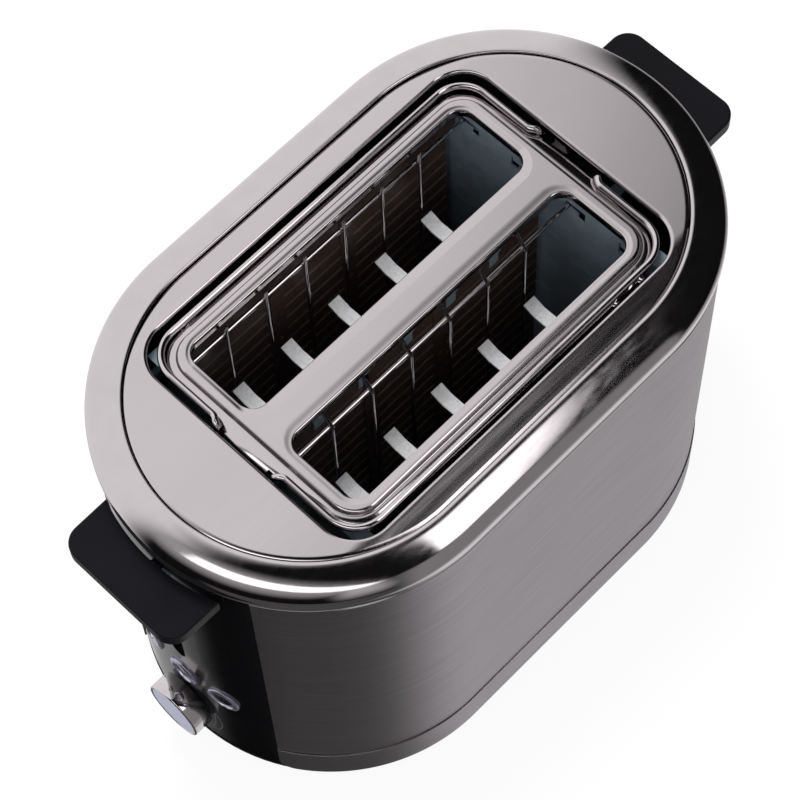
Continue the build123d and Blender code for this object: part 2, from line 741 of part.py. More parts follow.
with BuildPart() as chassis_screws:
    with BuildSketch(Plane.XY.offset(chassis_bottom + chassis_sheet)):
        with Locations(*screw_places):
            Circle(head[0] / 2)
    extrude(amount=head[1])
    with BuildSketch(Plane.XY.offset(chassis_bottom + chassis_sheet)):
        with Locations(*screw_places):
            Circle(shank[0] / 2)
    extrude(amount=-(chassis_sheet + shank[1] - 2 * thread_play))
save(chassis_screws, "chassis_screws")

for side, side_name in sides:
    with BuildPart() as reflector:
        with BuildSketch(Plane.XY.offset(reflector_bottom)):
            with Locations((side * reflector_x, 0)):
                Rectangle(reflector_sheet, 2 * chassis_y)
        extrude(amount=board_top - reflector_bottom)
    save(reflector, f"reflector_{side_name}")

# Heating boards and their ribbon, wound round each board between its tabs
wound_half = chassis_y - board_shoulder
winding_bottom = board_bottom + board_tab + ribbon_pitch / 2
ribbon_levels = [winding_bottom + turn * ribbon_pitch for turn in range(ribbon_turns)]
for board_name, x in board_places:
    with BuildPart() as heater_board:
        with BuildSketch(Plane.YZ.offset(x - board / 2)):
            with Locations((0, (board_bottom + board_top) / 2)):
                Rectangle(2 * wound_half, board_top - board_bottom)
            with Locations(*[(0, level + board_tab / 2) for level in board_tab_levels]):
                Rectangle(2 * (chassis_outer + board_tab_out), board_tab)
        extrude(amount=board)
    save(heater_board, f"heater_board_{board_name}")

    with BuildPart() as heating_ribbon:
        edge = wound_half + ribbon[0]
        with BuildSketch(Plane.YZ.offset(x + board / 2)):
            with Locations(*[(0, level) for level in ribbon_levels]):
                Rectangle(2 * edge, ribbon[1])
        extrude(amount=ribbon[0])
        with BuildSketch(Plane.YZ.offset(x - board / 2)):
            for level in ribbon_levels[:-1]:
                rise, half = ribbon_pitch, ribbon[1] / 2
                Polygon((edge, level - half), (edge, level + half),
                        (-edge, level + rise + half), (-edge, level + rise - half), align=None)
        extrude(amount=-ribbon[0])
        turns_right = [(x, wound_half + ribbon[0] / 2, level) for level in ribbon_levels[:-1]]
        turns_left = [(x, -wound_half - ribbon[0] / 2, level) for level in ribbon_levels[1:]]
        with Locations(*turns_right, *turns_left):
            Box(board + 2 * ribbon[0], ribbon[0], ribbon[1])
    save(heating_ribbon, f"heating_ribbon_{board_name}")

# Path of one ribbon: level runs in front of its board, sloping runs behind it
run_points = 24
ribbon_depth = (board + ribbon[0]) / 2
ribbon_path = []
for level in ribbon_levels:
    for step in range(run_points):
        ribbon_path.append(Vector(ribbon_depth, wound_half * (2 * step / run_points - 1), level))
    for step in range(run_points):
        rise = ribbon_pitch * step / run_points
        ribbon_path.append(Vector(-ribbon_depth, wound_half * (1 - 2 * step / run_points), level + rise))
ribbon_gap = least_gap(ribbon_path[:-run_points], run_points, ribbon[1])
print(f"least gap between the turns of a heating ribbon: {ribbon_gap:.2f} mm")

# Bread guards: a hinge wire, a rail and the upright wires with their hooks
guard_ys = [guard_shift + guard_spacing * (i - (guard_count - 1) / 2) for i in range(guard_count)]
for guard_name, wire_x, closes in guards:
    inner = abs(wire_x) == guard_inner_x
    with BuildPart() as guard:
        x = rail_x(wire_x, closes)
        with Locations((x, 0, guard_axis_height), (x, 0, rail_height)):
            Cylinder(rail_wire / 2, 2 * (chassis_outer + guard_end), rotation=(90, 0, 0))
        upright_top = rail_height if inner else hook_height
        with Locations(*[(wire_x, y, guard_axis_height) for y in guard_ys]):
            Cylinder(guard_wire / 2, upright_top - guard_axis_height, align=CENTRED_UP)
        if inner:
            lean = degrees(atan2(-closes * hook_lean, hook_height - rail_height))
            length = hypot(hook_lean, hook_height - rail_height)
            with Locations(*[Location((wire_x, y, rail_height), (0, lean, 0)) for y in guard_ys]):
                Cylinder(guard_wire / 2, length, align=CENTRED_UP)
            with Locations(*[(wire_x, y, rail_height) for y in guard_ys]):
                Sphere(guard_wire / 2)
    save(guard, f"guard_{guard_name}")

# Guide rod, carriage and bread racks
with BuildPart() as guide_rod:
    with BuildSketch(Plane.XY.offset(rod_boss_top - rod_bite)):
        with Locations((0, -guide_rod_y)):
            Circle(guide_rod_d / 2)
    extrude(amount=chassis_top - rod_boss_top + rod_bite)
save(guide_rod, "guide_rod")

stem_end = grip_reach - stem_short
stem_start = guide_rod_y + bush_d / 2 - stem_bite
with BuildPart() as carriage:
    with BuildSketch(Plane.XY.offset(bush_bottom)):
        with Locations((0, -guide_rod_y)):
            Circle(bush_d / 2)
    extrude(amount=bush_height)
    with BuildSketch(Plane.XY.offset(strip_bottom)):
        with Locations((0, -cross_plate_y - cross_plate / 2)):
            Rectangle(2 * lifter_x + strip, cross_plate)
    extrude(amount=strip_height)
    with BuildSketch(Plane.XY.offset(stem_bottom)):
        with Locations((0, -(stem_start + stem_end) / 2)):
            Rectangle(lever_stem[0], stem_end - stem_start)
    extrude(amount=lever_stem[1])
    with BuildSketch(Plane.XY.offset(bush_bottom)):
        with Locations((0, -guide_rod_y)):
            Circle(guide_rod_d / 2 + running)
    extrude(amount=bush_height, mode=Mode.SUBTRACT)
save(carriage, "carriage")

lifter_ys = [lifter_shift + lifter_pitch * (i - (lifter_count - 1) / 2) for i in range(lifter_count)]
for side, side_name in sides:
    with BuildPart() as bread_rack:
        x = side * lifter_x
        tail = lifter_ys[-1] + lifter_width / 2 + strip_tail
        with BuildSketch(Plane.YZ.offset(x - strip / 2)):
            with Locations(((tail - cross_plate_y) / 2, (strip_bottom + strip_top) / 2)):
                Rectangle(tail + cross_plate_y, strip_height)
            with Locations(*[(y, strip_top) for y in lifter_ys]):
                Rectangle(lifter_width, 2 * (strip_drop - strip / 2))
        extrude(amount=strip)
        for y in lifter_ys:
            with BuildSketch(Plane(origin=(x, y - lifter_width / 2, lifter_top), x_dir=(1, 0, 0), z_dir=(0, -1, 0))):
                with BuildLine():
                    reach = lifter_flat + lifter_wing
                    Polyline((-reach, lifter_wing_rise), (-lifter_flat, 0), (lifter_flat, 0),
                             (reach, lifter_wing_rise), (reach, lifter_wing_rise - strip),
                             (lifter_flat, -strip), (-lifter_flat, -strip), (-reach, lifter_wing_rise - strip),
                             close=True)
                make_face()
            extrude(amount=-lifter_width)
    save(bread_rack, f"bread_rack_{side_name}")

# Keeper on the carriage and the magnet that holds it down
keeper_bottom = strip_bottom
keeper_y = cross_plate_y + cross_plate + keeper[1] / 2
with BuildPart() as keeper_plate:
    with BuildSketch(Plane.XY.offset(keeper_bottom)):
        with Locations((keeper_x, -keeper_y)):
            Rectangle(keeper[0], keeper[1])
    extrude(amount=keeper[2])
save(keeper_plate, "keeper_plate")

magnet_top = keeper_bottom - lever_travel - magnet_gap
magnet_bottom = magnet_top - magnet_height
leg_xs = [keeper_x + step * (keeper[0] - magnet_leg) / 2 for step in (-1, 1)]
with BuildPart() as magnet_core:
    with BuildSketch(Plane.XY.offset(magnet_bottom)):
        core_start, core_end = chassis_outer, keeper_y + keeper[1] / 2
        with Locations((keeper_x, -(core_start + core_end) / 2)):
            Rectangle(keeper[0], core_end - core_start)
    extrude(amount=magnet_leg)
    with BuildSketch(Plane.XY.offset(magnet_bottom)):
        with Locations(*[(x, -keeper_y) for x in leg_xs]):
            Rectangle(magnet_leg, keeper[1] - 2 * coil_wall)
    extrude(amount=magnet_height)
save(magnet_core, "magnet_core")

with BuildPart() as magnet_coil:
    with BuildSketch(Plane.XY.offset(magnet_bottom + magnet_leg)):
        with Locations((leg_xs[0], -keeper_y)):
            Rectangle(magnet_leg + 2 * coil_wall, keeper[1])
            Rectangle(magnet_leg, keeper[1] - 2 * coil_wall, mode=Mode.SUBTRACT)
    extrude(amount=magnet_height - magnet_leg - coil_wall)
save(magnet_coil, "magnet_coil")

# Return spring on the guide rod, under the carriage
spring_bottom = rod_boss_top + spring_gap + spring_wire / 2
spring_height = bush_bottom - spring_gap - spring_wire / 2 - spring_bottom
with BuildPart() as return_spring:
    with BuildLine():
        coil = Helix(pitch=spring_height / spring_turns, height=spring_height, radius=spring_radius,
                     center=(0, -guide_rod_y, spring_bottom))
    with BuildSketch(Plane(origin=coil @ 0, z_dir=coil % 0)):
        Circle(spring_wire / 2)
    sweep()
save(return_spring, "return_spring")

turn_points = 24
spring_path = [coil @ (i / (spring_turns * turn_points)) for i in range(spring_turns * turn_points + 1)]
print(f"least gap between the spring's turns: {least_gap(spring_path, turn_points // 2, spring_wire):.2f} mm")

# Circuit board, its screws, the buttons' switches and the browning control
board_back = Plane(origin=(0, -circuit_y + circuit[2], 0), x_dir=(1, 0, 0), z_dir=(0, -1, 0))
with BuildPart() as control_board:
    with BuildSketch(board_back):
        with Locations((0, circuit_bottom + circuit[1] / 2)):
            Rectangle(circuit[0], circuit[1])
        with Locations(*post_places):
            Circle(shank[0] / 2 + thread_play, mode=Mode.SUBTRACT)
    extrude(amount=circuit[2])
save(control_board, "control_board")

with BuildPart() as board_screws:
    with BuildSketch(board_back):
        with Locations(*post_places):
            Circle(head[0] / 2)
    extrude(amount=-head[1])
    with BuildSketch(board_back):
        with Locations(*post_places):
            Circle(shank[0] / 2)
    extrude(amount=circuit[2] + shank[1] - 2 * thread_play)
save(board_screws, "board_screws")

with BuildPart() as potentiometer:
    with BuildSketch(board_face):
        with Locations((0, knob_height)):
            Circle(pot_d / 2)
            Circle(dial_shaft_d / 2 + running, mode=Mode.SUBTRACT)
    extrude(amount=pot_length)
save(potentiometer, "potentiometer")

knob_back = front_face_y + knob_gap
with BuildPart() as dial_shaft:
    with BuildSketch(knob_plane.offset(knob_gap + knob_bite)):
        Circle(dial_shaft_d / 2)
    extrude(amount=-(knob_back + knob_bite - circuit_y - dial_shaft_short))
save(dial_shaft, "dial_shaft")

with BuildPart() as browning_knob:
    with BuildSketch(knob_plane.offset(knob_gap)):
        Circle(knob_d / 2)
    extrude(amount=knob_length)
    fillet(browning_knob.edges().sort_by(Axis.Y)[0], radius=knob_edge)
    with BuildSketch(knob_plane.offset(knob_gap)):
        Circle(dial_shaft_d / 2 + running)
    extrude(amount=knob_bite, mode=Mode.SUBTRACT)
save(browning_knob, "browning_knob")

button_names = ("left", "middle", "right")
with BuildPart() as button_bezels:
    for plane in button_planes:
        with BuildSketch(plane.offset(bezel_proud)):
            Circle(bezel_d / 2)
            Circle(button_d / 2 + button_play, mode=Mode.SUBTRACT)
        extrude(amount=-bezel_depth)
save(button_bezels, "button_bezels")

# A button's stem stops short of its switch, which stands on the circuit board
for name, plane, angle in zip(button_names, button_planes, (-button_angle, 0, button_angle)):
    depth = front_face_y - circuit_y - end_outside * (1 - cos(radians(angle)))
    stem_length = depth / cos(radians(angle)) - switch[1] - button_travel - switch_gap
    with BuildPart() as button:
        with BuildSketch(plane.offset(button_proud)):
            Circle(button_d / 2)
        extrude(amount=-bezel_depth)
        fillet(button.edges().sort_by(Axis(plane.origin, plane.z_dir))[-1], radius=button_dome)
        with BuildSketch(plane.offset(button_proud - bezel_depth)):
            Circle(stem_d / 2)
        extrude(amount=-(stem_length + button_proud - bezel_depth))
    save(button, f"button_{name}")

with BuildPart() as button_switches:
    for plane, angle in zip(button_planes, (-button_angle, 0, button_angle)):
        depth = front_face_y - circuit_y - end_outside * (1 - cos(radians(angle)))
        face = depth / cos(radians(angle)) - switch[1]
        with BuildSketch(plane.offset(-face)):
            Rectangle(switch[0], switch[0])
        extrude(amount=-2 * switch[1])
    split(bisect_by=Plane(origin=(0, -circuit_y, 0), z_dir=(0, -1, 0)), keep=Keep.TOP)
save(button_switches, "button_switches")

# Crumb tray, drawn out backwards by the pull on its curved face
with BuildPart() as crumb_tray:
    with BuildSketch(Plane.XY.offset(tray_bottom)):
        with Locations((0, end_centre)):
            Rectangle(tray_width, 2 * (end_centre + tray_front))
        stadium(end_outside, Mode.INTERSECT)
    extrude(amount=tray_wall_height)
    with BuildSketch(Plane.XY.offset(tray_bottom + tray_sheet)):
        with Locations((0, end_centre)):
            Rectangle(tray_width - 2 * tray_sheet, 2 * (end_centre + tray_front - tray_sheet))
        stadium(end_inside, Mode.INTERSECT)
    extrude(amount=tray_wall_height, mode=Mode.SUBTRACT)
    with BuildSketch(Plane.XY.offset(tray_bottom)):
        stadium(end_outside)
        stadium(end_inside, Mode.SUBTRACT)
        wedge(tray_face_half_angle, 1, Mode.INTERSECT)
    extrude(amount=tray_face_height)
    with BuildSketch(Plane.XY.offset(tray_face_top - 2 * tray_pull[1])):
        stadium(end_outside + tray_pull[0])
        stadium(end_outside - end_wall / 2, Mode.SUBTRACT)
        wedge(tray_pull[2], 1, Mode.INTERSECT)
    extrude(amount=tray_pull[1])
save(crumb_tray, "crumb_tray")

# Bun rack: two wire halves on a lifting frame, raised by a lever at the back
for side, side_name in sides:
    with BuildPart() as bun_wire_half:
        with BuildLine():
            corners = [(side * bun_leg_x, -bun_leg_y, yoke_top), (side * bun_leg_x, -bun_leg_y, bun_height),
                       (side * bun_leg_start, -bun_short_y, bun_height),
                       (side * bun_long_x, -bun_short_y, bun_height)]
            corners += [(x, -y, z) for x, y, z in reversed(corners)]
            bends = [bun_bend, bun_kink, bun_corner, bun_corner, bun_kink, bun_bend]
            wire = FilletPolyline(*corners, radius=bends)
        with BuildSketch(Plane(origin=wire @ 0, z_dir=wire % 0)):
            Circle(bun_wire / 2)
        sweep()
    save(bun_wire_half, f"bun_wire_{side_name}")

rear_stem_end = end_centre + end_outside + grip_gap + rack_knob[1] / 2
with BuildPart() as bun_rack_frame:
    bar, height = yoke_bar
    with BuildSketch(Plane.XY.offset(yoke_top - height)):
        with Locations(*[(x, 0) for x in (-rack_side_x, rack_side_x)]):
            Rectangle(bar, 2 * bun_leg_y + bar)
        with Locations((0, bun_leg_y)):
            Rectangle(2 * rack_side_x, bar)
        front_bar = rack_side_x - bun_leg_x + bun_wire / 2
        with Locations(*[(side * (rack_side_x - front_bar / 2), -bun_leg_y) for side in (-1, 1)]):
            Rectangle(front_bar, bar)
    extrude(amount=height)
    with BuildSketch(Plane.XY.offset(rack_stem_top - height)):
        with Locations((0, bun_leg_y)):
            Rectangle(rack_stem_width, bar)
    extrude(amount=yoke_top - rack_stem_top + height)
    with BuildSketch(Plane.XY.offset(rack_stem_top - height)):
        with Locations((0, (bun_leg_y + rear_stem_end) / 2)):
            Rectangle(rack_stem_width, rear_stem_end - bun_leg_y)
    extrude(amount=height)
save(bun_rack_frame, "bun_rack_frame")

with BuildPart() as bun_rack_knob:
    knob_y = end_centre + end_outside + grip_gap + rack_knob[1] / 2
    with Locations((0, knob_y, rack_stem_top - yoke_bar[1] / 2)):
        Box(*rack_knob)
    fillet(bun_rack_knob.edges(), radius=rack_knob_round)
    with BuildSketch(Plane.XY.offset(rack_stem_top - yoke_bar[1])):
        with Locations((0, rear_stem_end - rack_knob[1] / 2)):
            Rectangle(rack_stem_width, rack_knob[1])
    extrude(amount=yoke_bar[1], mode=Mode.SUBTRACT)
save(bun_rack_knob, "bun_rack_knob")

# Mains entry: the gland in the rear panel and the terminals on the rear chassis plate
with BuildPart() as cord_gland:
    with BuildSketch(gland_plane.offset(-end_wall)):
        Circle(gland[1] / 2)
    extrude(amount=end_wall + gland_flange)
    with BuildSketch(gland_plane):
        Circle(gland[0] / 2)
    extrude(amount=gland_flange)
    with BuildSketch(gland_plane.offset(gland_flange)):
        Circle(gland[2] / 2)
    extrude(amount=-gland_length, mode=Mode.SUBTRACT)
save(cord_gland, "cord_gland")

with BuildPart() as terminal_block:
    with Locations((terminal_place[0], chassis_outer + terminal[1] / 2, terminal_place[1])):
        Box(*terminal)
    with Locations(*[(terminal_place[0] + step * terminal[0] / 3, chassis_outer + terminal[1] / 2,
                      terminal_place[1] + terminal[2] / 2) for step in (-1, 0, 1)]):
        Hole(terminal_hole[0] / 2, depth=terminal_hole[1])
save(terminal_block, "terminal_block")
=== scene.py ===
"""Looks of the two-slice toaster, built round its CAD frame. Lengths in the tables are millimetres."""

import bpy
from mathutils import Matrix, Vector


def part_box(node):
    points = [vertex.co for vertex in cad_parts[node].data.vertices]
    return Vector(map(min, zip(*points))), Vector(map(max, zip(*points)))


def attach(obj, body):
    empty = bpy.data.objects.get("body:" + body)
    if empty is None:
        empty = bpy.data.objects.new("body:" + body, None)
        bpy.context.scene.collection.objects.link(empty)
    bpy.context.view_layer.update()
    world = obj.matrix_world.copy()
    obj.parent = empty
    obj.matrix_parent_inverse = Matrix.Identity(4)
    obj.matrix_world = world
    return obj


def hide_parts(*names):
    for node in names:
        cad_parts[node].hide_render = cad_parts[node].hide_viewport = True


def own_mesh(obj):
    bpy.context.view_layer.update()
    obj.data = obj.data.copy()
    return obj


bl_info = {
    "name": "Two-slice toaster",
    "version": (1, 0, 0),
    "blender": (4, 5, 0),
    "location": "3D View > Sidebar > Toaster",
    "description": "Builds the steel, plastic and wire of a two-slice toaster round its CAD frame",
    "category": "Object",
}

from math import asin, cos, pi, radians, sin

import bmesh
import bpy
from bpy.props import FloatProperty, FloatVectorProperty, PointerProperty
from mathutils import Matrix, Vector
from mathutils.geometry import delaunay_2d_cdt

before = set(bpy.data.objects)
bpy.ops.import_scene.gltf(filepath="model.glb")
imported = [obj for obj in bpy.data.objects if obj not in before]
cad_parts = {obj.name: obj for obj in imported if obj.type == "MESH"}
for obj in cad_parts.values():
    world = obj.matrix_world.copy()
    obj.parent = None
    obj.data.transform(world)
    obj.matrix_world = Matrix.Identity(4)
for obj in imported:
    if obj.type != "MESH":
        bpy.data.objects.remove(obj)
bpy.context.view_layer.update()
SHELL = "body_shell"
MM = 0.001

# Places that the frame gives, in metres
RIM_LOW, RIM_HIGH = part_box("top_rim")
PLATE_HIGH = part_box("top_plate")[1]
SLOT_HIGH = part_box("slot_panel")[1]
PANEL_LOW, PANEL_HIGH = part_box("side_panel_right")
SKIRT_LOW, SKIRT_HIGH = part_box("skirt_right")
KNOB_LOW, KNOB_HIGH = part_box("browning_knob")
BEZEL_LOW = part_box("button_bezels")[0]
BOARD_LOW, BOARD_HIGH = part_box("heater_board_left")
END_CENTRE = RIM_HIGH.y - RIM_HIGH.x  # distance of the round ends' axes from the middle
FRONT_RADIUS = -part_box("front_panel")[0].y - END_CENTRE

# Steps round half the body and round a quarter corner, and the signs of the quarters in their order
ARC_STEPS = 72
CORNER_STEPS = 14
QUARTERS = ((1, 1), (-1, 1), (-1, -1), (1, -1))

INSIDE = 1  # what a filled outline keeps: the faces within its borders
SAME_POINT = 1e-6  # points nearer than this, in metres, are merged
FORWARD = Matrix.Rotation(pi / 2, 4, "X")  # turns an upright piece towards the front


def linear(code):
    """Linear colour of an sRGB hex value."""
    channels = [int(code[i : i + 2], 16) / 255 for i in (1, 3, 5)]
    return (*[c / 12.92 if c <= 0.04045 else ((c + 0.055) / 1.055) ** 2.4 for c in channels], 1.0)


def length(name, description, millimetres):
    """Length that a user may change."""
    default = millimetres * MM
    return FloatProperty(
        name=name, description=description, default=default, min=0.0, precision=5, subtype="DISTANCE", unit="LENGTH"
    )


def colour(name, description, code):
    """Colour that a user may change."""
    default = linear(code)
    return FloatVectorProperty(
        name=name, description=description, default=default, size=4, min=0.0, max=1.0, subtype="COLOR"
    )


class ToasterSizes(bpy.types.PropertyGroup):
    """Sizes of the pieces that aren't in the frame."""

    sheet: length("Sheet", "Thickness of the steel covers", 0.8)
    rim_edge: length("Rim edge", "Rounding of the rim's inner edge", 0.6)
    rim_bead: length("Rim bead", "Radius of the rolled bead at the rim's lower edge", 0.35)
    rim_crest: length("Rim crest", "Distance of the rim's highest line inside its outer edge", 13.3)
    rim_drop: length("Rim drop", "Depth of the rim's rounded shoulder", 7.0)
    plate_roll: length("Plate roll", "Width of the top plate's rolled outer edge", 1.2)
    plate_fall: length("Plate fall", "Drop of the top plate's rolled outer edge", 0.2)
    plate_crown: length("Plate crown", "Drop of the top plate along its long sides", 0.8)
    opening_roll: length("Opening roll", "Rounding of the top plate's opening", 1.1)
    slot_roll: length("Slot roll", "Rounding of the turned-down edge of a bread slot", 0.8)
    collar_width: length("Collar width", "Width of the sunk border between the bread slots", 4.2)
    collar_side: length("Collar side", "Width of the sunk border on a bread slot's other sides", 2.5)
    collar_depth: length("Collar depth", "Depth of the sunk border round a bread slot", 0.6)
    shoulder: length("Shoulder", "Rounding of the raised middle's outer edge", 1.3)
    panel_edge: length("Panel edge", "Rounding on the edges of the side panels", 0.38)
    skirt_corner: length("Skirt corner", "Radius of the skirt's lower corners", 6.0)
    knob_proud: length("Knob proud", "The dial's turned rim outside its moulded core", 0.9)
    grain: length("Grain", "Spacing of the brushed grain", 0.35)


class ToasterColours(bpy.types.PropertyGroup):
    """Colours of the finishes."""

    polished_steel: colour("Polished steel", "Rim, bun wires and bread slots' edges", "#CFC8CA")
    satin_steel: colour("Satin steel", "Top plate and slot panel", "#CBC4C6")
    brushed_steel: colour("Brushed steel", "Side panels and skirt", "#A8A1A6")
    galvanised: colour("Galvanised steel", "Chassis plates and reflectors", "#8796A3")
    gloss_black: colour("Gloss black", "End panels", "#060608")
    satin_black: colour("Satin black", "Grips and fittings", "#0D0D11")
    mica: colour("Mica", "Heating boards", "#3A2B24")
    ribbon: colour("Heating ribbon", "Ribbon wound on the heating boards", "#7C6F66")
    bezel: colour("Bezels", "Metallised rings round the buttons", "#B4B3C4")
    dial_face: colour("Dial face", "Face of the browning dial", "#C6C9DE")
    zinc: colour("Zinc plate", "Bread racks and the clips on the heating boards", "#F0F0F2")


class ToasterStudio(bpy.types.PropertyGroup):
    """Lamps and surroundings."""

    key: FloatProperty(name="Key lamp", description="Power of the key softbox", default=9.0, min=0.0, unit="POWER")
    fill: FloatProperty(name="Fill lamp", description="Power of the fill softbox", default=20.0, min=0.0, unit="POWER")
    ambient: FloatProperty(name="Ambient", description="Strength of the light from all round", default=0.55, min=0.0)


def add_node(tree, kind, inputs=None, **settings):
    """Adds one node with its settings; an input is a value, or the socket it is linked from."""
    node = tree.nodes.new(kind)
    for name, value in settings.items():
        setattr(node, name, value)
    for name, value in (inputs or {}).items():
        if isinstance(value, bpy.types.NodeSocket):
            tree.links.new(value, node.inputs[name])
        else:
            node.inputs[name].default_value = value
    return node


NOISE_RANGE = (0.3, 0.7)  # values between which a noise texture mostly lies


def new_finish(name, base, shades, patches, grain, roughness, depth, cells=False, **surface):
    """New material. patches and grain are the sizes, in millimetres, of its colour patches and surface texture; shades
    and roughness are the ranges that these drive, and depth is the texture's height. cells gives crystal patches.
    """
    made = bpy.data.materials.new(name)
    made.use_nodes = True
    tree = made.node_tree
    tree.nodes.clear()
    place = add_node(tree, "ShaderNodeTexCoord").outputs["Object"]
    values = []
    for size, kind in ((patches, "Voronoi" if cells else "Noise"), (grain, "Noise")):
        steps = size if isinstance(size, tuple) else (size,) * 3
        scaled = add_node(tree, "ShaderNodeMapping", {"Vector": place, "Scale": [1 / (MM * step) for step in steps]})
        texture = add_node(tree, f"ShaderNodeTex{kind}", {"Vector": scaled.outputs["Vector"], "Scale": 1.0})
        values.append(texture.outputs["Color" if kind == "Voronoi" else "Fac"])
    low, high = (0.0, 1.0) if cells else NOISE_RANGE
    patch = add_node(tree, "ShaderNodeMapRange", {"Value": values[0], "From Min": low, "From Max": high})
    dark, light = ([channel * shade for channel in base[:3]] + [1.0] for shade in shades)
    tint = add_node(
        tree, "ShaderNodeMix", {"Factor": patch.outputs["Result"], 6: dark, 7: light}, data_type="RGBA"
    )
    ends = dict(zip(("From Min", "From Max", "To Min", "To Max"), (*NOISE_RANGE, *roughness)))
    gloss = add_node(tree, "ShaderNodeMapRange", {"Value": values[1], **ends})
    relief = add_node(tree, "ShaderNodeBump", {"Height": values[1], "Distance": depth * MM})
    surface["Base Color"] = tint.outputs[2]
    surface["Roughness"] = gloss.outputs["Result"]
    surface["Normal"] = relief.outputs["Normal"]
    shader = add_node(tree, "ShaderNodeBsdfPrincipled", surface)
    add_node(tree, "ShaderNodeOutputMaterial", {"Surface": shader.outputs["BSDF"]})
    return made


def recipes(colours, sizes):
    """Every finish, under the real material's name: base colour and range of its shades, sizes in millimetres of its
    colour patches and of its texture, range of its roughness, the texture's height, and other settings.
    """
    # The real brushed grain is about 0.1 mm; it is drawn as coarse as the sizes say, so that it shows
    grain = sizes.grain / MM
    steel, brushed, satin = colours.polished_steel, colours.brushed_steel, colours.satin_steel
    metal = {"Metallic": 1.0}
    drawn_out = {"Anisotropic": 0.7, "Anisotropic Rotation": 0.25}
    dull = {"IOR": 1.49, "Specular IOR Level": 0.14}
    return {
        # Stainless steel buffed bright: sharp reflections, with a haze of fine buffing marks
        "polished_stainless_steel": (steel, (0.97, 1.02), 9, (2, 8, 2), (0.06, 0.11), 0.001, metal),
        # Stainless steel sheet with a fine satin finish: clear reflections, softened in faint streaks along the body
        "satin_stainless_steel": (satin, (0.97, 1.02), (25, 70, 25), (0.5, 15, 0.5), (0.09, 0.13), 0.0005, metal),
        # Stainless steel brushed round the body: level grain lines that draw reflections out upwards
        "brushed_stainless_steel": (
            brushed, (0.88, 1.12), (40, 40, 2 * grain), (25, 25, grain), (0.32, 0.40), 0.003, metal | drawn_out
        ),
        # Steel wire, nickel and chrome plated: a mirror with the faintest haze
        "chromed_wire": (steel, (1.0, 1.08), 5, 3, (0.04, 0.09), 0.0005, metal),
        # Drawn steel wire and turned screws: bright, dulled by heat in patches
        "bright_drawn_steel": (steel, (0.72, 1.0), 12, 1, (0.18, 0.32), 0.001, metal),
        # Zinc-coated sheet: blue-grey, in crystal patches of about 6 mm
        "galvanised_sheet": (
            colours.galvanised, (0.85, 1.15), 6, 1.5, (0.42, 0.56), 0.003, {"cells": True, "Metallic": 0.35}
        ),
        # Gloss black ABS: deep black, with a slight waviness in its reflections
        "glossy_moulded_plastic": (colours.gloss_black, (0.9, 1.2), 3, 16, (0.10, 0.16), 0.01, {"IOR": 1.53}),
        # Black polypropylene from a spark-eroded mould: an even, finely pebbled satin surface. Its pebbles of 0.3 mm
        # are drawn at 0.6 mm, so that they show
        "satin_moulded_plastic": (colours.satin_black, (0.9, 1.2), 20, 0.6, (0.36, 0.48), 0.02, dull),
        # Black rubber: dull, slightly uneven and dusty
        "moulded_rubber": (linear("#1A1A1B"), (0.8, 1.3), 2, 1, (0.7, 0.9), 0.03, {"IOR": 1.52}),
        # Pressed mica board: dark brown, in glinting flakes of a few millimetres
        "pressed_mica": (
            colours.mica, (0.75, 1.35), (0.6, 3.5, 2.6), (0.6, 4, 2), (0.4, 0.6), 0.02, {"cells": True, "IOR": 1.58}
        ),
        # Iron-chrome ribbon, oxidised by heat: pale grey-brown with darker stretches
        "rolled_resistance_ribbon": (
            colours.ribbon, (0.6, 1.15), (3, 14, 3), 2, (0.3, 0.5), 0.002, {"Metallic": 0.45}
        ),
        # Copper under clear enamel: warm, slightly glossy, in fine turns
        "enamelled_copper": (linear("#B4602F"), (0.6, 1.1), (30, 30, 0.5), (30, 30, 0.5), (0.25, 0.4), 0.08, metal),
        # Glass-epoxy board under green solder mask, in paler and darker fields
        "coated_circuit_board": (
            linear("#1F6B38"), (0.6, 1.2), 3, 1, (0.25, 0.4), 0.01, {"cells": True, "IOR": 1.55}
        ),
        # White steatite: smooth glaze over a slightly uneven body
        "glazed_ceramic": (linear("#DDD9D0"), (0.92, 1.02), 4, 2, (0.15, 0.3), 0.01, {"IOR": 1.55}),
        # Plastic under a thin metal coat: a lilac-grey mirror, slightly hazy
        "metallised_plastic": (colours.bezel, (0.96, 1.03), 4, 4, (0.14, 0.18), 0.0002, {"Metallic": 0.9}),
        # Aluminium disc, anodised a cool lilac: a fine, matt metal that scatters its light widely
        "anodised_aluminium": (colours.dial_face, (0.96, 1.03), 5, 0.4, (0.40, 0.46), 0.0005, {"Metallic": 0.35}),
        # Zinc-plated steel strip: pale and matt, finely mottled by its passivation
        "zinc_plated_strip": (colours.zinc, (0.86, 1.04), 1.2, 0.8, (0.42, 0.55), 0.01, {"Metallic": 0.1}),
        # Grey printing ink on gloss plastic: thin and slightly uneven
        "printed_ink": (linear("#5C5C62"), (0.85, 1.1), 1.5, 0.6, (0.35, 0.5), 0.002, {"IOR": 1.5}),
        # Copper rivet heads, browned by heat
        "riveted_copper": (linear("#A4562C"), (0.5, 1.1), 0.8, 0.5, (0.25, 0.4), 0.01, {"Metallic": 0.8}),
    }


def finish_named(name):
    """Material of that name, made when it is first asked for."""
    if name not in bpy.data.materials:
        scene = bpy.context.scene
        *values, settings = recipes(scene.toaster_colours, scene.toaster_sizes)[name]
        new_finish(name, *values, **settings)
    return bpy.data.materials[name]


def dress(finish, *nodes):
    """Gives CAD nodes a finish; their shape stays as it is."""
    for name in nodes:
        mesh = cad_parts[name].data
        mesh.materials.clear()
        mesh.materials.append(finish_named(finish))


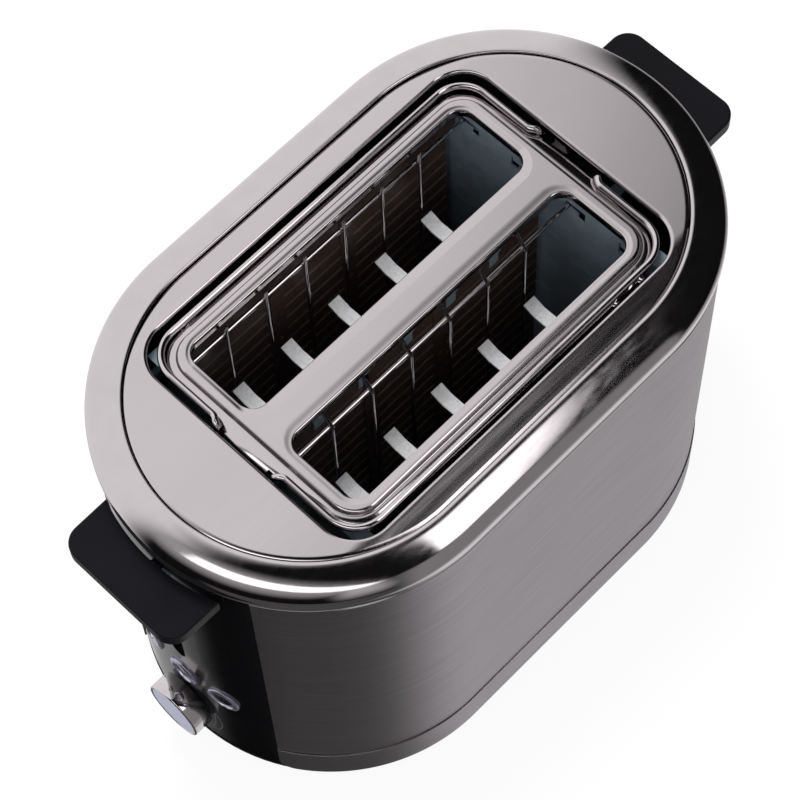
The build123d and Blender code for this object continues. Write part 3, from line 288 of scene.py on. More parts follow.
def eased(share):
    """Share from 0 to 1 that starts and ends gently."""
    share = min(1.0, max(0.0, share))
    return share * share * (3 - 2 * share)


def stadium(radius):
    """Outline of the body at this radius, anticlockwise from the +X side."""
    points = []
    for turn, end in ((0, 1), (1, -1)):
        for step in range(ARC_STEPS + 1):
            angle = pi * (turn + step / ARC_STEPS)
            points.append((radius * cos(angle), end * END_CENTRE + radius * sin(angle)))
    return points


def rounded_rectangle(half_x, half_y, corner, centre=0.0):
    """Outline with round corners, anticlockwise from the +X side."""
    points = []
    for quarter, (side_x, side_y) in enumerate(QUARTERS):
        for step in range(CORNER_STEPS + 1):
            angle = (quarter + step / CORNER_STEPS) * pi / 2
            x = centre + side_x * (half_x - corner) + corner * cos(angle)
            points.append((x, side_y * (half_y - corner) + corner * sin(angle)))
    return points


# Top plate's opening in millimetres: half sizes and corner radius; then the steps round its corners and straights
OPENING = (53.2, 80.8, 14.0)
OPENING_CORNER = 40
OPENING_STRAIGHT = 36


def opening_rays():
    """Points round the top plate's opening, each with its direction outwards."""
    half_x, half_y, corner = [size * MM for size in OPENING]
    rays = []
    for quarter, (side_x, side_y) in enumerate(QUARTERS):
        centre = Vector((side_x * (half_x - corner), side_y * (half_y - corner)))
        for step in range(OPENING_CORNER + 1):
            angle = (quarter + step / OPENING_CORNER) * pi / 2
            way = Vector((cos(angle), sin(angle)))
            rays.append((centre + way * corner, way))
        straight = 2 * ((half_y if quarter % 2 else half_x) - corner)
        along = Vector((-way.y, way.x))
        start = rays[-1][0]
        for step in range(1, OPENING_STRAIGHT):
            rays.append((start + along * straight * step / OPENING_STRAIGHT, way))
    return rays


def meet(point, way, radius):
    """Place where a ray from inside leaves the stadium of this radius."""
    if abs(way.x) > 1e-6:
        hit = point + way * ((radius if way.x > 0 else -radius) - point.x) / way.x
        if abs(hit.y) <= END_CENTRE:
            return hit
    off = point - Vector((0.0, END_CENTRE if point.y > 0 else -END_CENTRE))
    along = off.dot(way)
    return point + way * ((along**2 - off.dot(off) + radius**2) ** 0.5 - along)


def arc(centre, radii, start, end, steps=8):
    """Points of an elliptical arc, angles in degrees."""
    angles = [radians(start + (end - start) * step / steps) for step in range(steps + 1)]
    return [(centre[0] + radii[0] * cos(a), centre[1] + radii[1] * sin(a)) for a in angles]


def bridge(mesh, rings):
    """Joins rings of points by faces; a ring may be a single point."""
    for near, far in zip(rings, rings[1:]):
        count = max(len(near), len(far))
        for i, j in zip(range(count), [*range(1, count), 0]):
            corners = [near[i % len(near)], near[j % len(near)], far[j % len(far)], far[i % len(far)]]
            mesh.faces.new([v for k, v in enumerate(corners) if v not in corners[:k]])


def loft(mesh, outlines):
    """Joins outlines, each with its height, by a sheet; returns its first and last ring."""
    rings = [[mesh.verts.new((x, y, height)) for x, y in outline] for outline, height in outlines]
    bridge(mesh, rings)
    return rings[0], rings[-1]


def add_rings(mesh, outline, profile):
    """Carries a profile of offsets and heights round an outline; returns its first and last ring."""
    return loft(mesh, [(outline(offset), height) for offset, height in profile])


def fill_flat(mesh, outer, *holes):
    """Flat sheet between an outer ring and the convex rings inside it, all at one height."""
    corners, borders, ring_of = [], [], []
    for number, ring in enumerate((outer, *holes)):
        first = len(corners)
        borders += [(first + i, first + (i + 1) % len(ring)) for i in range(len(ring))]
        corners += ring
        ring_of += [number] * len(ring)
    flat = [corner.co.to_2d() for corner in corners]
    _, _, faces, sources, _, _ = delaunay_2d_cdt(flat, borders, [], INSIDE, 1e-9)
    for face in faces:
        places = [sources[i][0] for i in face]
        touched = {ring_of[i] for i in places}
        if touched == {0} or len(touched) > 1:
            mesh.faces.new([corners[i] for i in places])


def new_piece(name, mesh, sharp=40.0, closed=False):
    """Object from a bmesh, shaded smooth between sharp edges; a closed one has its faces turned outwards."""
    if closed:
        bmesh.ops.recalc_face_normals(mesh, faces=mesh.faces)
    data = bpy.data.meshes.new(name)
    mesh.to_mesh(data)
    mesh.free()
    return smooth_piece(name, data, sharp)


def smooth_piece(name, data, sharp=40.0):
    """Object that shows a mesh, shaded smooth between sharp edges."""
    data.polygons.foreach_set("use_smooth", [True] * len(data.polygons))
    data.set_sharp_from_angle(angle=radians(sharp))
    piece = bpy.data.objects.new(name, data)
    bpy.context.scene.collection.objects.link(piece)
    return piece


def face_up(mesh):
    """Turns an open sheet so that its level faces point up."""
    bmesh.ops.recalc_face_normals(mesh, faces=mesh.faces)
    mesh.normal_update()
    if sum(face.normal.z * face.calc_area() for face in mesh.faces) < 0:
        bmesh.ops.reverse_faces(mesh, faces=mesh.faces)


def thicken(piece, thickness, bevel=0.0):
    """Gives an open sheet its thickness behind its faces, and rounds its sharp edges in its second finish."""
    solid = piece.modifiers.new("sheet", "SOLIDIFY")
    solid.thickness = thickness
    solid.offset = -1.0
    solid.use_even_offset = True
    if bevel:
        edge = piece.modifiers.new("edge", "BEVEL")
        edge.width = bevel
        edge.segments = 4
        edge.limit_method = "ANGLE"
        edge.angle_limit = radians(60)
        edge.harden_normals = True
        edge.material = 1
    return piece


def settle(piece, body, finishes, nodes):
    """Gives a piece its finishes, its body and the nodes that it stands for."""
    order = [face.material_index for face in piece.data.polygons]
    piece.data.materials.clear()
    for finish in finishes:
        piece.data.materials.append(finish_named(finish))
    piece.data.polygons.foreach_set("material_index", order)
    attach(piece, body)
    if nodes:
        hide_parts(*nodes)
    return piece


def poly_curve(name, points, closed):
    """Curve object through these points."""
    data = bpy.data.curves.new(name, "CURVE")
    data.dimensions = "3D"
    spline = data.splines.new("POLY")
    spline.points.add(len(points) - 1)
    for point, place in zip(spline.points, points):
        point.co = (*place, 1.0)
    spline.use_cyclic_u = closed
    made = bpy.data.objects.new(name, data)
    bpy.context.scene.collection.objects.link(made)
    return made


def new_tree(name, **inputs):
    """New Geometry Nodes tree, and the sockets that give its named inputs."""
    tree = bpy.data.node_groups.new(name, "GeometryNodeTree")
    for label, kind in inputs.items():
        tree.interface.new_socket(label, in_out="INPUT", socket_type=f"NodeSocket{kind}")
    tree.interface.new_socket("Geometry", in_out="OUTPUT", socket_type="NodeSocketGeometry")
    return tree, add_node(tree, "NodeGroupInput").outputs


def close_tree(tree, geometry, material):
    """Ends a tree: what it makes becomes real and takes its finish."""
    real = add_node(tree, "GeometryNodeRealizeInstances", {"Geometry": geometry})
    finished = add_node(
        tree, "GeometryNodeSetMaterial", {"Geometry": real.outputs["Geometry"], "Material": material}
    )
    add_node(tree, "NodeGroupOutput", {"Geometry": finished.outputs["Geometry"]})
    return tree


def sweep_tree(name):
    """Geometry Nodes tree that carries a section round a path."""
    tree, given = new_tree(name, Path="Object", Section="Object", Finish="Material")
    path = add_node(tree, "GeometryNodeObjectInfo", {"Object": given["Path"]})
    section = add_node(tree, "GeometryNodeObjectInfo", {"Object": given["Section"]})
    level = add_node(tree, "GeometryNodeSetCurveNormal", {"Curve": path.outputs["Geometry"]}, mode="Z_UP")
    ends = {"Curve": level.outputs["Curve"], "Profile Curve": section.outputs["Geometry"]}
    swept = add_node(tree, "GeometryNodeCurveToMesh", ends)
    return close_tree(tree, swept.outputs["Mesh"], given["Finish"])


def copies_tree(name):
    """Geometry Nodes tree that repeats a piece in a row, and turns its copies about an upright axis as a fan."""
    inputs = {"Piece": "Object", "Start": "Vector", "Step": "Vector", "Turn": "Float", "Count": "Int"}
    tree, given = new_tree(name, **inputs, Finish="Material")
    line = {"Count": given["Count"], "Start Location": given["Start"], "Offset": given["Step"]}
    points = add_node(tree, "GeometryNodeMeshLine", line)
    index = add_node(tree, "GeometryNodeInputIndex")
    last = add_node(tree, "ShaderNodeMath", {0: given["Count"], 1: 1.0}, operation="SUBTRACT")
    middle = add_node(tree, "ShaderNodeMath", {0: last.outputs[0], 1: 0.5}, operation="MULTIPLY")
    place = add_node(tree, "ShaderNodeMath", {0: index.outputs[0], 1: middle.outputs[0]}, operation="SUBTRACT")
    turn = add_node(tree, "ShaderNodeMath", {0: place.outputs[0], 1: given["Turn"]}, operation="MULTIPLY")
    spin = add_node(tree, "ShaderNodeCombineXYZ", {"Z": turn.outputs[0]})
    piece = add_node(tree, "GeometryNodeObjectInfo", {"Object": given["Piece"]})
    where = {"Points": points.outputs["Mesh"], "Instance": piece.outputs["Geometry"], "Rotation": spin.outputs[0]}
    copies = add_node(tree, "GeometryNodeInstanceOnPoints", where)
    return close_tree(tree, copies.outputs["Instances"], given["Finish"])


TREES = {"Section along a path": sweep_tree, "Copies of a piece": copies_tree}


def grow(name, title, helpers, sharp=40.0, **values):
    """Runs the Geometry Nodes tree of that title and keeps its result as a plain mesh; the helper objects go."""
    tree = bpy.data.node_groups.get(title) or TREES[title](title)
    holder = bpy.data.objects.new(name + "_holder", bpy.data.meshes.new(name + "_holder"))
    bpy.context.scene.collection.objects.link(holder)
    modifier = holder.modifiers.new("grow", "NODES")
    modifier.node_group = tree
    for item in tree.interface.items_tree:
        if item.item_type == "SOCKET" and item.in_out == "INPUT":
            modifier[item.identifier] = values[item.name]
    depsgraph = bpy.context.evaluated_depsgraph_get()
    data = bpy.data.meshes.new_from_object(holder.evaluated_get(depsgraph))
    data.name = name
    if not data.polygons:
        raise RuntimeError(f"{name} came out empty")
    for helper in (holder, *helpers):
        bpy.data.objects.remove(helper)
    return smooth_piece(name, data, sharp)


def weld(piece, sheet=False):
    """Merges doubled points and turns the faces outwards, or those of an open sheet upwards."""
    mesh = bmesh.new()
    mesh.from_mesh(piece.data)
    bmesh.ops.remove_doubles(mesh, verts=mesh.verts, dist=SAME_POINT)
    if sheet:
        face_up(mesh)
    else:
        bmesh.ops.recalc_face_normals(mesh, faces=mesh.faces)
    mesh.to_mesh(piece.data)
    mesh.free()


def lay_copies(name, sample, start, step, count, finish, slot, turn=0.0, nodes=()):
    """Row or fan of copies of a sample on the body; start and step are in millimetres, and turn in degrees."""
    start, step = [tuple(size * MM for size in place) for place in (start, step)]
    values = {"Piece": sample, "Start": start, "Step": step, "Turn": radians(turn), "Count": count}
    copies = grow(name, "Copies of a piece", (sample,), **values, Finish=finish_named(finish))
    weld(copies)
    settle(copies, SHELL, [finish], nodes)


class TOASTER_OT_rim(bpy.types.Operator):
    """Polished rim: one section carried round the body by Geometry Nodes"""

    bl_idname = "toaster.rim"
    bl_label = "Polished rim"

    def execute(self, context):
        sizes = context.scene.toaster_sizes
        crest = RIM_HIGH.x - sizes.rim_crest
        shoulder = RIM_HIGH.z - sizes.rim_drop
        edge, bead = sizes.rim_edge, sizes.rim_bead
        inner_drop, side_drop, side_in = 3 * MM, 0.8 * MM, 0.02 * MM
        section = [(crest + sizes.sheet / 8, RIM_HIGH.z - inner_drop)]
        section += arc((crest + edge, RIM_HIGH.z - edge), (edge, edge), 180, 100, 6)
        section += arc((crest, shoulder), (sizes.rim_crest, sizes.rim_drop), 84, 0, 30)
        section += [(RIM_HIGH.x - side_in, shoulder - side_drop)]
        section += arc((RIM_HIGH.x - bead, RIM_LOW.z + bead), (bead, bead), 40, -120, 8)
        path = poly_curve("rim_path", [(x, y, 0.0) for x, y in stadium(crest)], True)
        outline = poly_curve("rim_section", [(x - crest, -z, 0.0) for x, z in section], False)
        steel = finish_named("polished_stainless_steel")
        values = {"Path": path, "Section": outline, "Finish": steel}
        rim = grow("polished_rim", "Section along a path", (path, outline), sharp=60.0, **values)
        weld(rim, sheet=True)
        thicken(rim, sizes.sheet)
        settle(rim, SHELL, ["polished_stainless_steel"], ["top_rim"])
        return {"FINISHED"}


# Top plate in millimetres: height of its upright side, the softened corner above it as distances inwards and below the
# roll, where the flat part starts inside the roll and ends before the opening, and depth of the opening's upright edge
PLATE_SIDE = 1.0
PLATE_SOFT = ((0.0, 0.35), (0.1, 0.12), (0.35, 0.0))
PLATE_FLAT = (0.8, 0.5)
OPENING_EDGE = 0.5
CROWN_START = 50.0  # distance from the middle line at which the plate starts to fall away
PLATE_BANDS = 6  # bands across the flat part
ROLL_STEPS = 6


class TOASTER_OT_top_plate(bpy.types.Operator):
    """Satin top plate with its opening and rolled edges"""

    bl_idname = "toaster.top_plate"
    bl_label = "Top plate"

    def execute(self, context):
        sizes = context.scene.toaster_sizes
        top, radius = PLATE_HIGH.z, PLATE_HIGH.x
        rays = opening_rays()
        roll, fall, edge = sizes.plate_roll, sizes.plate_fall, sizes.opening_roll

        def outer(offset):
            return [meet(point, way, radius + offset) for point, way in rays]

        def inner(offset):
            return [point + way * offset for point, way in rays]

        rings = [(outer(0.0), top - PLATE_SIDE * MM)]
        rings += [(outer(-inset * MM), top - fall - drop * MM) for inset, drop in PLATE_SOFT]
        for step in range(1, ROLL_STEPS + 1):
            offset = -roll * step / ROLL_STEPS - PLATE_SOFT[-1][0] * MM
            rings.append((outer(offset), top - fall * (1 - step / ROLL_STEPS) ** 2))
        last, first = outer(-roll - PLATE_FLAT[0] * MM), inner(edge + PLATE_FLAT[1] * MM)
        for step in range(PLATE_BANDS + 1):
            share = step / PLATE_BANDS
            rings.append(([a.lerp(b, share) for a, b in zip(last, first)], top))
        rings += [(inner(offset), z) for offset, z in arc((edge, top - edge), (edge, edge), 90, 180)]
        rings.append((inner(0.0), top - edge - OPENING_EDGE * MM))
        mesh = bmesh.new()
        loft(mesh, rings)
        crown_start = CROWN_START * MM
        for corner in mesh.verts:
            share = (abs(corner.co.x) - crown_start) / (radius - crown_start)
            corner.co.z -= sizes.plate_crown * eased(share)
        face_up(mesh)
        plate = thicken(new_piece("satin_top_plate", mesh), sizes.sheet)
        settle(plate, SHELL, ["satin_stainless_steel"], ["top_plate"])
        return {"FINISHED"}


# Slot panel in millimetres. Bread slots: half sizes, corner radius and distance of their centres from the middle
SLOT = (16.625, 67.5, 6.0)
SLOT_CENTRE = 24.275
SLOT_LIP = 3.4  # how far the turned-down edge reaches below the sunk border
COLLAR_STEPS = 8
COLLAR_LIFT = 0.8  # share of its depth by which the border is raised where it isn't sunk
FLAT_GAP = 0.1  # level strip between the border and the flat middle
# Raised middle: half sizes and corner radius, drop of its rounded shoulder, radius of the fold into the flange, and
# level strips inside the shoulder and outside the fold
RAISED = (45.3, 72.8, 10.4)
SHOULDER_DROP, FLANGE_FOLD = 1.2, 0.5
WALL_FLATS = (0.2, 0.4)
# Flange: half sizes and corner radius, and how far it lies below the middle
FLANGE, FLANGE_DROP = (51.0, 77.6, 16.1), 1.8
# Flange's tongues at the ends: half width and reach; its tabs on the sides: reach, width and where they start
TONGUE = (10.0, 80.6)
TAB_REACH, TAB_WIDTH, TAB_STARTS = 53.0, 3.0, (45.5, 58.3)


class TOASTER_OT_slot_panel(bpy.types.Operator):
    """Slot panel: raised middle, two bread slots and the flange below the bun rack"""

    bl_idname = "toaster.slot_panel"
    bl_label = "Slot panel"

    def collar(self, mesh, sizes, side):
        """Turned-down edge and sunk border of the slot on one side; returns its outer ring."""
        top = SLOT_HIGH.z
        edge = top - sizes.collar_depth
        roll = sizes.slot_roll
        half_x, half_y, corner = [size * MM for size in SLOT]
        centre = SLOT_CENTRE * MM
        profile = [(0.0, 0.0, edge - SLOT_LIP * MM)]
        profile += [(out, out, z) for out, z in arc((roll, edge - roll), (roll, roll), 180, 90)]
        widths = (sizes.collar_width, sizes.collar_side)
        for step in range(1, COLLAR_STEPS + 1):
            share = step / COLLAR_STEPS
            reach = [roll + (width - roll) * share for width in widths]
            profile.append((*reach, edge + sizes.collar_depth * eased(share)))
        profile.append((*[width + FLAT_GAP * MM for width in widths], top))

        def slot(reach):
            """Outline round the slot; it reaches further towards the bar between the slots."""
            inner, outer = reach
            grown = (inner + outer) / 2
            middle = side * (centre - (inner - outer) / 2)
            return rounded_rectangle(half_x + grown, half_y + outer, corner + grown, middle)

        known = len(mesh.verts)
        rings = add_rings(mesh, slot, [((inner, outer), z) for inner, outer, z in profile])
        mesh.verts.ensure_lookup_table()
        for place in mesh.verts[known:]:
            # The border is sunk only beside the bar, at the left slot
            away = 1.0 if side > 0 else eased((abs(place.co.x) - centre) / half_x + 0.5)
            if place.co.z > edge - roll:
                place.co.z += (top - place.co.z) * COLLAR_LIFT * away
        return rings[1]

    def execute(self, context):
        sizes = context.scene.toaster_sizes
        top = SLOT_HIGH.z
        flange = top - FLANGE_DROP * MM
        mesh = bmesh.new()
        holes = [self.collar(mesh, sizes, side) for side in (-1, 1)]
        soft, drop, fold = sizes.shoulder, SHOULDER_DROP * MM, FLANGE_FOLD * MM
        wall = [(-soft - WALL_FLATS[0] * MM, top)]
        wall += arc((-soft, top - drop), (soft, drop), 90, 5, 10)
        wall += arc((fold, flange + fold), (fold, fold), 185, 270, 5)
        wall += [(fold + WALL_FLATS[1] * MM, flange)]
        rings = add_rings(mesh, lambda offset: rounded_rectangle(*[size * MM + offset for size in RAISED]), wall)
        fill_flat(mesh, rings[0], *holes)
        outline = rounded_rectangle(*[size * MM for size in FLANGE])
        half, reach, end = TONGUE[0] * MM, TONGUE[1] * MM, FLANGE[1] * MM
        tongue = [(half, end), (half, reach), (-half, reach), (-half, end)]
        tabs = []
        for y in TAB_STARTS:
            corners = ((FLANGE[0], y), (TAB_REACH, y), (TAB_REACH, y + TAB_WIDTH), (FLANGE[0], y + TAB_WIDTH))
            tabs += [(x * MM, y * MM) for x, y in corners]
        extras = (tongue, [(-x, -y) for x, y in tabs], [(-x, -y) for x, y in tongue], tabs)
        quarter = CORNER_STEPS + 1
        points = []
        for number, extra in enumerate(extras):
            points += outline[number * quarter : (number + 1) * quarter] + extra
        border = [mesh.verts.new((x, y, flange)) for x, y in points]
        fill_flat(mesh, border, rings[1])
        face_up(mesh)
        panel = thicken(new_piece("satin_slot_panel", mesh), sizes.sheet)
        settle(panel, SHELL, ["satin_stainless_steel"], ["slot_panel"])
        return {"FINISHED"}


# Bright trim line under the rim, in millimetres: heights, and how far it stands out of the side panel there
TRIM_LINE = (
    (167.2, 0.0), (167.4, 0.3), (167.7, 0.56), (167.95, 0.62),
    (168.15, 0.54), (168.33, 0.32), (168.5, 0.06), (168.55, 0.0),
)
FOOT_BAND = 1.0  # height of the lowest row of faces
CORNER_FINE = 10  # columns round a skirt's lower corner


class TOASTER_OT_side_panels(bpy.types.Operator):
    """Brushed side panels and the skirt bands below them"""

    bl_idname = "toaster.side_panels"
    bl_label = "Side panels and skirt"

    def execute(self, context):
        sizes = context.scene.toaster_sizes
        self.cover(sizes, "side_panel", PANEL_LOW.z, PANEL_HIGH, 0.0, TRIM_LINE)
        self.cover(sizes, "skirt", SKIRT_LOW.z, SKIRT_HIGH, sizes.skirt_corner, ())
        return {"FINISHED"}

    def cover(self, sizes, name, foot, high, corner, line):
        """Left and right cover round the sides, from the height foot to high, the far corner of its box."""
        trim = [(z * MM, out * MM) for z, out in line]
        radius = high.x
        edge_angle = asin(min(1.0, (high.y - END_CENTRE) / radius))
        start = corner / radius
        turn = edge_angle - start
        angles = [-edge_angle + start * (step / CORNER_FINE) ** 2 for step in range(CORNER_FINE if corner else 0)]
        angles += [-edge_angle + start + turn * step / ARC_STEPS for step in range(ARC_STEPS + 1)]
        # Places round the cover, with their distance from its upright edge
        points = []
        for angle in angles:
            points.append((radius * cos(angle), -END_CENTRE + radius * sin(angle), (angle + edge_angle) * radius))
        points += [(x, -y, along) for x, y, along in reversed(points)]
        for side, side_name in ((-1, "left"), (1, "right")):
            mesh = bmesh.new()
            columns = []
            for x, y, along in points:
                rise = corner - (corner**2 - (corner - along) ** 2) ** 0.5 if along < corner else 0.0
                levels = [(foot + rise, 0.0), (foot + rise + FOOT_BAND * MM, 0.0), *trim, (high.z, 0.0)]
                way = Vector((x, y - max(-END_CENTRE, min(END_CENTRE, y)))).normalized()
                column = [(side * (x + way.x * out), y + way.y * out, z) for z, out in levels]
                columns.append([mesh.verts.new(place) for place in column])
            for near, far in zip(columns, columns[1:]):
                for i in range(len(near) - 1):
                    face = mesh.faces.new((near[i], far[i], far[i + 1], near[i + 1]))
                    # The trim line takes the second finish
                    face.material_index = int(2 <= i < len(near) - 3)
            mesh.normal_update()
            middle = mesh.faces[:][len(mesh.faces) // 2]
            if middle.normal.x * side < 0:
                bmesh.ops.reverse_faces(mesh, faces=mesh.faces)
            piece = new_piece(f"brushed_{name}_{side_name}", mesh)
            thicken(piece, sizes.sheet, sizes.panel_edge)
            finishes = ["brushed_stainless_steel", "polished_stainless_steel"]
            settle(piece, SHELL, finishes, [f"{name}_{side_name}"])


class TOASTER_OT_bun_wires(bpy.types.Operator):
    """Chromed wires of the bun rack"""

    bl_idname = "toaster.bun_wires"
    bl_label = "Bun rack wires"

    def execute(self, context):
        dress("chromed_wire", "bun_wire_left", "bun_wire_right")
        return {"FINISHED"}


class TOASTER_OT_end_panels(bpy.types.Operator):
    """Gloss black end panels"""

    bl_idname = "toaster.end_panels"
    bl_label = "End panels"

    def execute(self, context):
        dress("glossy_moulded_plastic", "front_panel", "rear_panel", "crumb_tray")
        return {"FINISHED"}


class TOASTER_OT_grips(bpy.types.Operator):
    """Satin black grips and the bun rack's own knob"""

    bl_idname = "toaster.grips"
    bl_label = "Grips"

    def execute(self, context):
        dress("satin_moulded_plastic", "lever_grip", "rear_handle", "bun_rack_knob", "cord_gland")
        return {"FINISHED"}


def folded_strip(name, outline, half):
    """Strip of sheet: an outline in X and Z carried along Y, from minus half to half."""
    mesh = bmesh.new()
    rows = [[mesh.verts.new((x, y, z)) for x, z in outline] for y in (-half, half)]
    bridge(mesh, rows)
    for row in rows:
        mesh.faces.new(row)
    return new_piece(name, mesh, closed=True)


def lathe(name, profile, place, turn, switch=0.0, steps=72):
    """Turned piece: radii and heights along its axis. Faces within the radius switch get the second finish."""
    mesh = bmesh.new()
    angles = [2 * pi * step / steps for step in range(steps)]
    rings = []
    for radius, height in profile:
        around = [(radius * cos(a), radius * sin(a), height) for a in angles] if radius else [(0.0, 0.0, height)]
        rings.append([mesh.verts.new(point) for point in around])
    bridge(mesh, rings)
    for face in mesh.faces:
        face.material_index = int(face.calc_center_median().to_2d().length < switch)
    mesh.transform(Matrix.Translation(place) @ turn)
    return new_piece(name, mesh, sharp=50.0, closed=True)


def wedge(x, z):
    """Outline of the dial's scale: a wedge that leaves the knob's edge and widens clockwise."""
    # Both edges sweep this many degrees; the outer one starts above the +X side and the inner one ends below it
    steps, sweep, outer_start, inner_start = 24, 61, 7, -63
    near, width, tip = 12.1 * MM, 8.8 * MM, 0.7 * MM
    outer_bend, inner_bend = 1.25, 2.2
    shares = [step / steps for step in range(steps + 1)]
    edge = [(outer_start - sweep * s, near + width * s**outer_bend) for s in shares]
    edge += [(inner_start + sweep * s, near + (width - tip) * (1 - s) ** inner_bend) for s in shares[:-1]]
    return [(x + reach * cos(radians(turn)), z + reach * sin(radians(turn))) for turn, reach in edge]


INK_PROUD, INK_SUNK = 0.04 * MM, 0.1 * MM  # how far the ink's body stands out of the panel and reaches into it


def printed_outline(points, width):
    """Thin closed line of ink that follows the front panel's round face."""
    mesh = bmesh.new()
    section = ((-0.5, INK_PROUD), (0.5, INK_PROUD), (0.5, -INK_SUNK), (-0.5, -INK_SUNK))
    rows = []
    for (x0, z0), (x, z), (x1, z1) in zip([points[-1], *points], points, [*points[1:], points[0]]):
        along = Vector((x1 - x0, z1 - z0)).normalized()
        row = []
        for side, proud in section:
            px, pz = x - along.y * width * side, z + along.x * width * side
            row.append(mesh.verts.new((px, -END_CENTRE - (FRONT_RADIUS**2 - px**2) ** 0.5 - proud, pz)))
        rows.append(row)
    bridge(mesh, [*rows, rows[0]])
    return new_piece("dial_scale", mesh, closed=True)


# Browning dial in millimetres: bevel at its back, height of its side below the face, rounding of its rim, and the
# groove inside the rim as distances inside its edge and below its front
KNOB_BEVEL = 0.4
KNOB_SIDE = 0.7
KNOB_SOFT = 0.6
KNOB_GROOVE = ((0.9, 0.05), (1.1, 0.35), (1.35, 0.35), (1.5, 0.15))
KNOB_SWITCH = 1.2  # where the plated rim ends and the anodised face starts
KNOB_FACE = (0.7, 0.4, 0.1, 0.0)  # rings on the face, as shares of its radius
SCALE_LINE = 0.3  # width of the printed line

# Bezel in millimetres: outer radius, depth in the panel, height of the side, rounding, and radii and heights from the
# crest to the bore; then how far the panel's face lies behind its front, height of its axis, and degrees between two
BEZEL_RADIUS, BEZEL_DEPTH, BEZEL_SIDE, BEZEL_SOFT = 6.7, 2.0, 0.45, 0.35
BEZEL_BORE = ((5.1, 1.15), (4.95, 1.15), (4.75, 0.9), (4.65, 0.0), (4.65, -2.0))
BEZEL_BACK, BEZEL_HEIGHT, BEZEL_STEP = 1.2, 56.3, 14.32


class TOASTER_OT_controls(bpy.types.Operator):
    """Browning knob, bezels and push buttons"""

    bl_idname = "toaster.controls"
    bl_label = "Controls"

    def execute(self, context):
        sizes = context.scene.toaster_sizes
        radius = KNOB_HIGH.x + sizes.knob_proud
        depth = KNOB_HIGH.y - KNOB_LOW.y
        groove = [(radius - inside * MM, depth - below * MM) for inside, below in KNOB_GROOVE]
        front = groove[-1][1]
        bevel, soft = KNOB_BEVEL * MM, KNOB_SOFT * MM
        profile = [(0.0, 0.0), (radius - bevel, 0.0), (radius, bevel), (radius, front - KNOB_SIDE * MM)]
        profile += arc((radius - soft, depth - soft), (soft, soft), 0, 90, 6) + groove
        profile += [(radius * share, front) for share in KNOB_FACE]
        place = Vector((0.0, KNOB_HIGH.y, (KNOB_LOW.z + KNOB_HIGH.z) / 2))
        knob = lathe("turned_browning_knob", profile, place, FORWARD, switch=radius - KNOB_SWITCH * MM)
        finishes = ["chromed_wire", "anodised_aluminium"]
        settle(knob, "browning_dial", finishes, ["browning_knob"])
        rim, foot, side, soft = [size * MM for size in (BEZEL_RADIUS, -BEZEL_DEPTH, BEZEL_SIDE, BEZEL_SOFT)]
        ring = [(rim, foot), (rim, side)]
        ring += arc((rim - soft, side), (soft, soft), 0, 75, 4)
        ring += [(reach * MM, height * MM) for reach, height in BEZEL_BORE] + [ring[0]]
        centre = Vector((0.0, BEZEL_LOW.y + BEZEL_BACK * MM + END_CENTRE, BEZEL_HEIGHT * MM))
        sample = lathe("bezel_sample", ring, centre, FORWARD)
        axis, still = (0.0, -END_CENTRE / MM, 0.0), (0.0, 0.0, 0.0)
        look, nodes = ("metallised_plastic", "silver_plastic"), ["button_bezels"]
        lay_copies("metallised_bezels", sample, axis, still, 3, *look, turn=BEZEL_STEP, nodes=nodes)
        mark = printed_outline(wedge(place.x, place.z), SCALE_LINE * MM)
        settle(mark, SHELL, ["printed_ink"], [])
        dress("glossy_moulded_plastic", "button_left", "button_middle", "button_right")
        dress("bright_drawn_steel", "dial_shaft", "board_screws")
        dress("metallised_plastic", "potentiometer")
        dress("coated_circuit_board", "control_board")
        dress("satin_moulded_plastic", "button_switches")
        return {"FINISHED"}


# What is clamped on the heating boards, in millimetres. Half a board's thickness, the ribbon's room on it, the sheet
BOARD_FACE, RIBBON_ROOM, CLAMP_SHEET = 0.3, 0.2, 0.35
# Strips: half width, where they stop below the board's top and above its foot, and their row; rivets on them: height,
# radii and heights of the head, and how deep they sit
STRIP_HALF, STRIP_TOP, STRIP_FOOT = 3.2, 0.5, 12.0
STRIP_START, STRIP_STEP, STRIP_COUNT = -22.1, 35.0, 2
RIVET_HEIGHT = 120.3
RIVET_HEAD = ((0.0, 0.0), (1.1, 0.0), (0.95, 0.3), (0.5, 0.55), (0.0, 0.6))
RIVET_SUNK = 0.05
# Clips on the centre board: half width, heights of foot, bend and lip, and how far the lip leans out on either face
CLIP_HALF = 2.3
CLIP_HEIGHTS = (149.0, 157.0, 158.2)
CLIP_LEAN = (1.2, 0.9)
CLIP_START, CLIP_STEP, CLIP_COUNT = -46.6, 21.8, 5


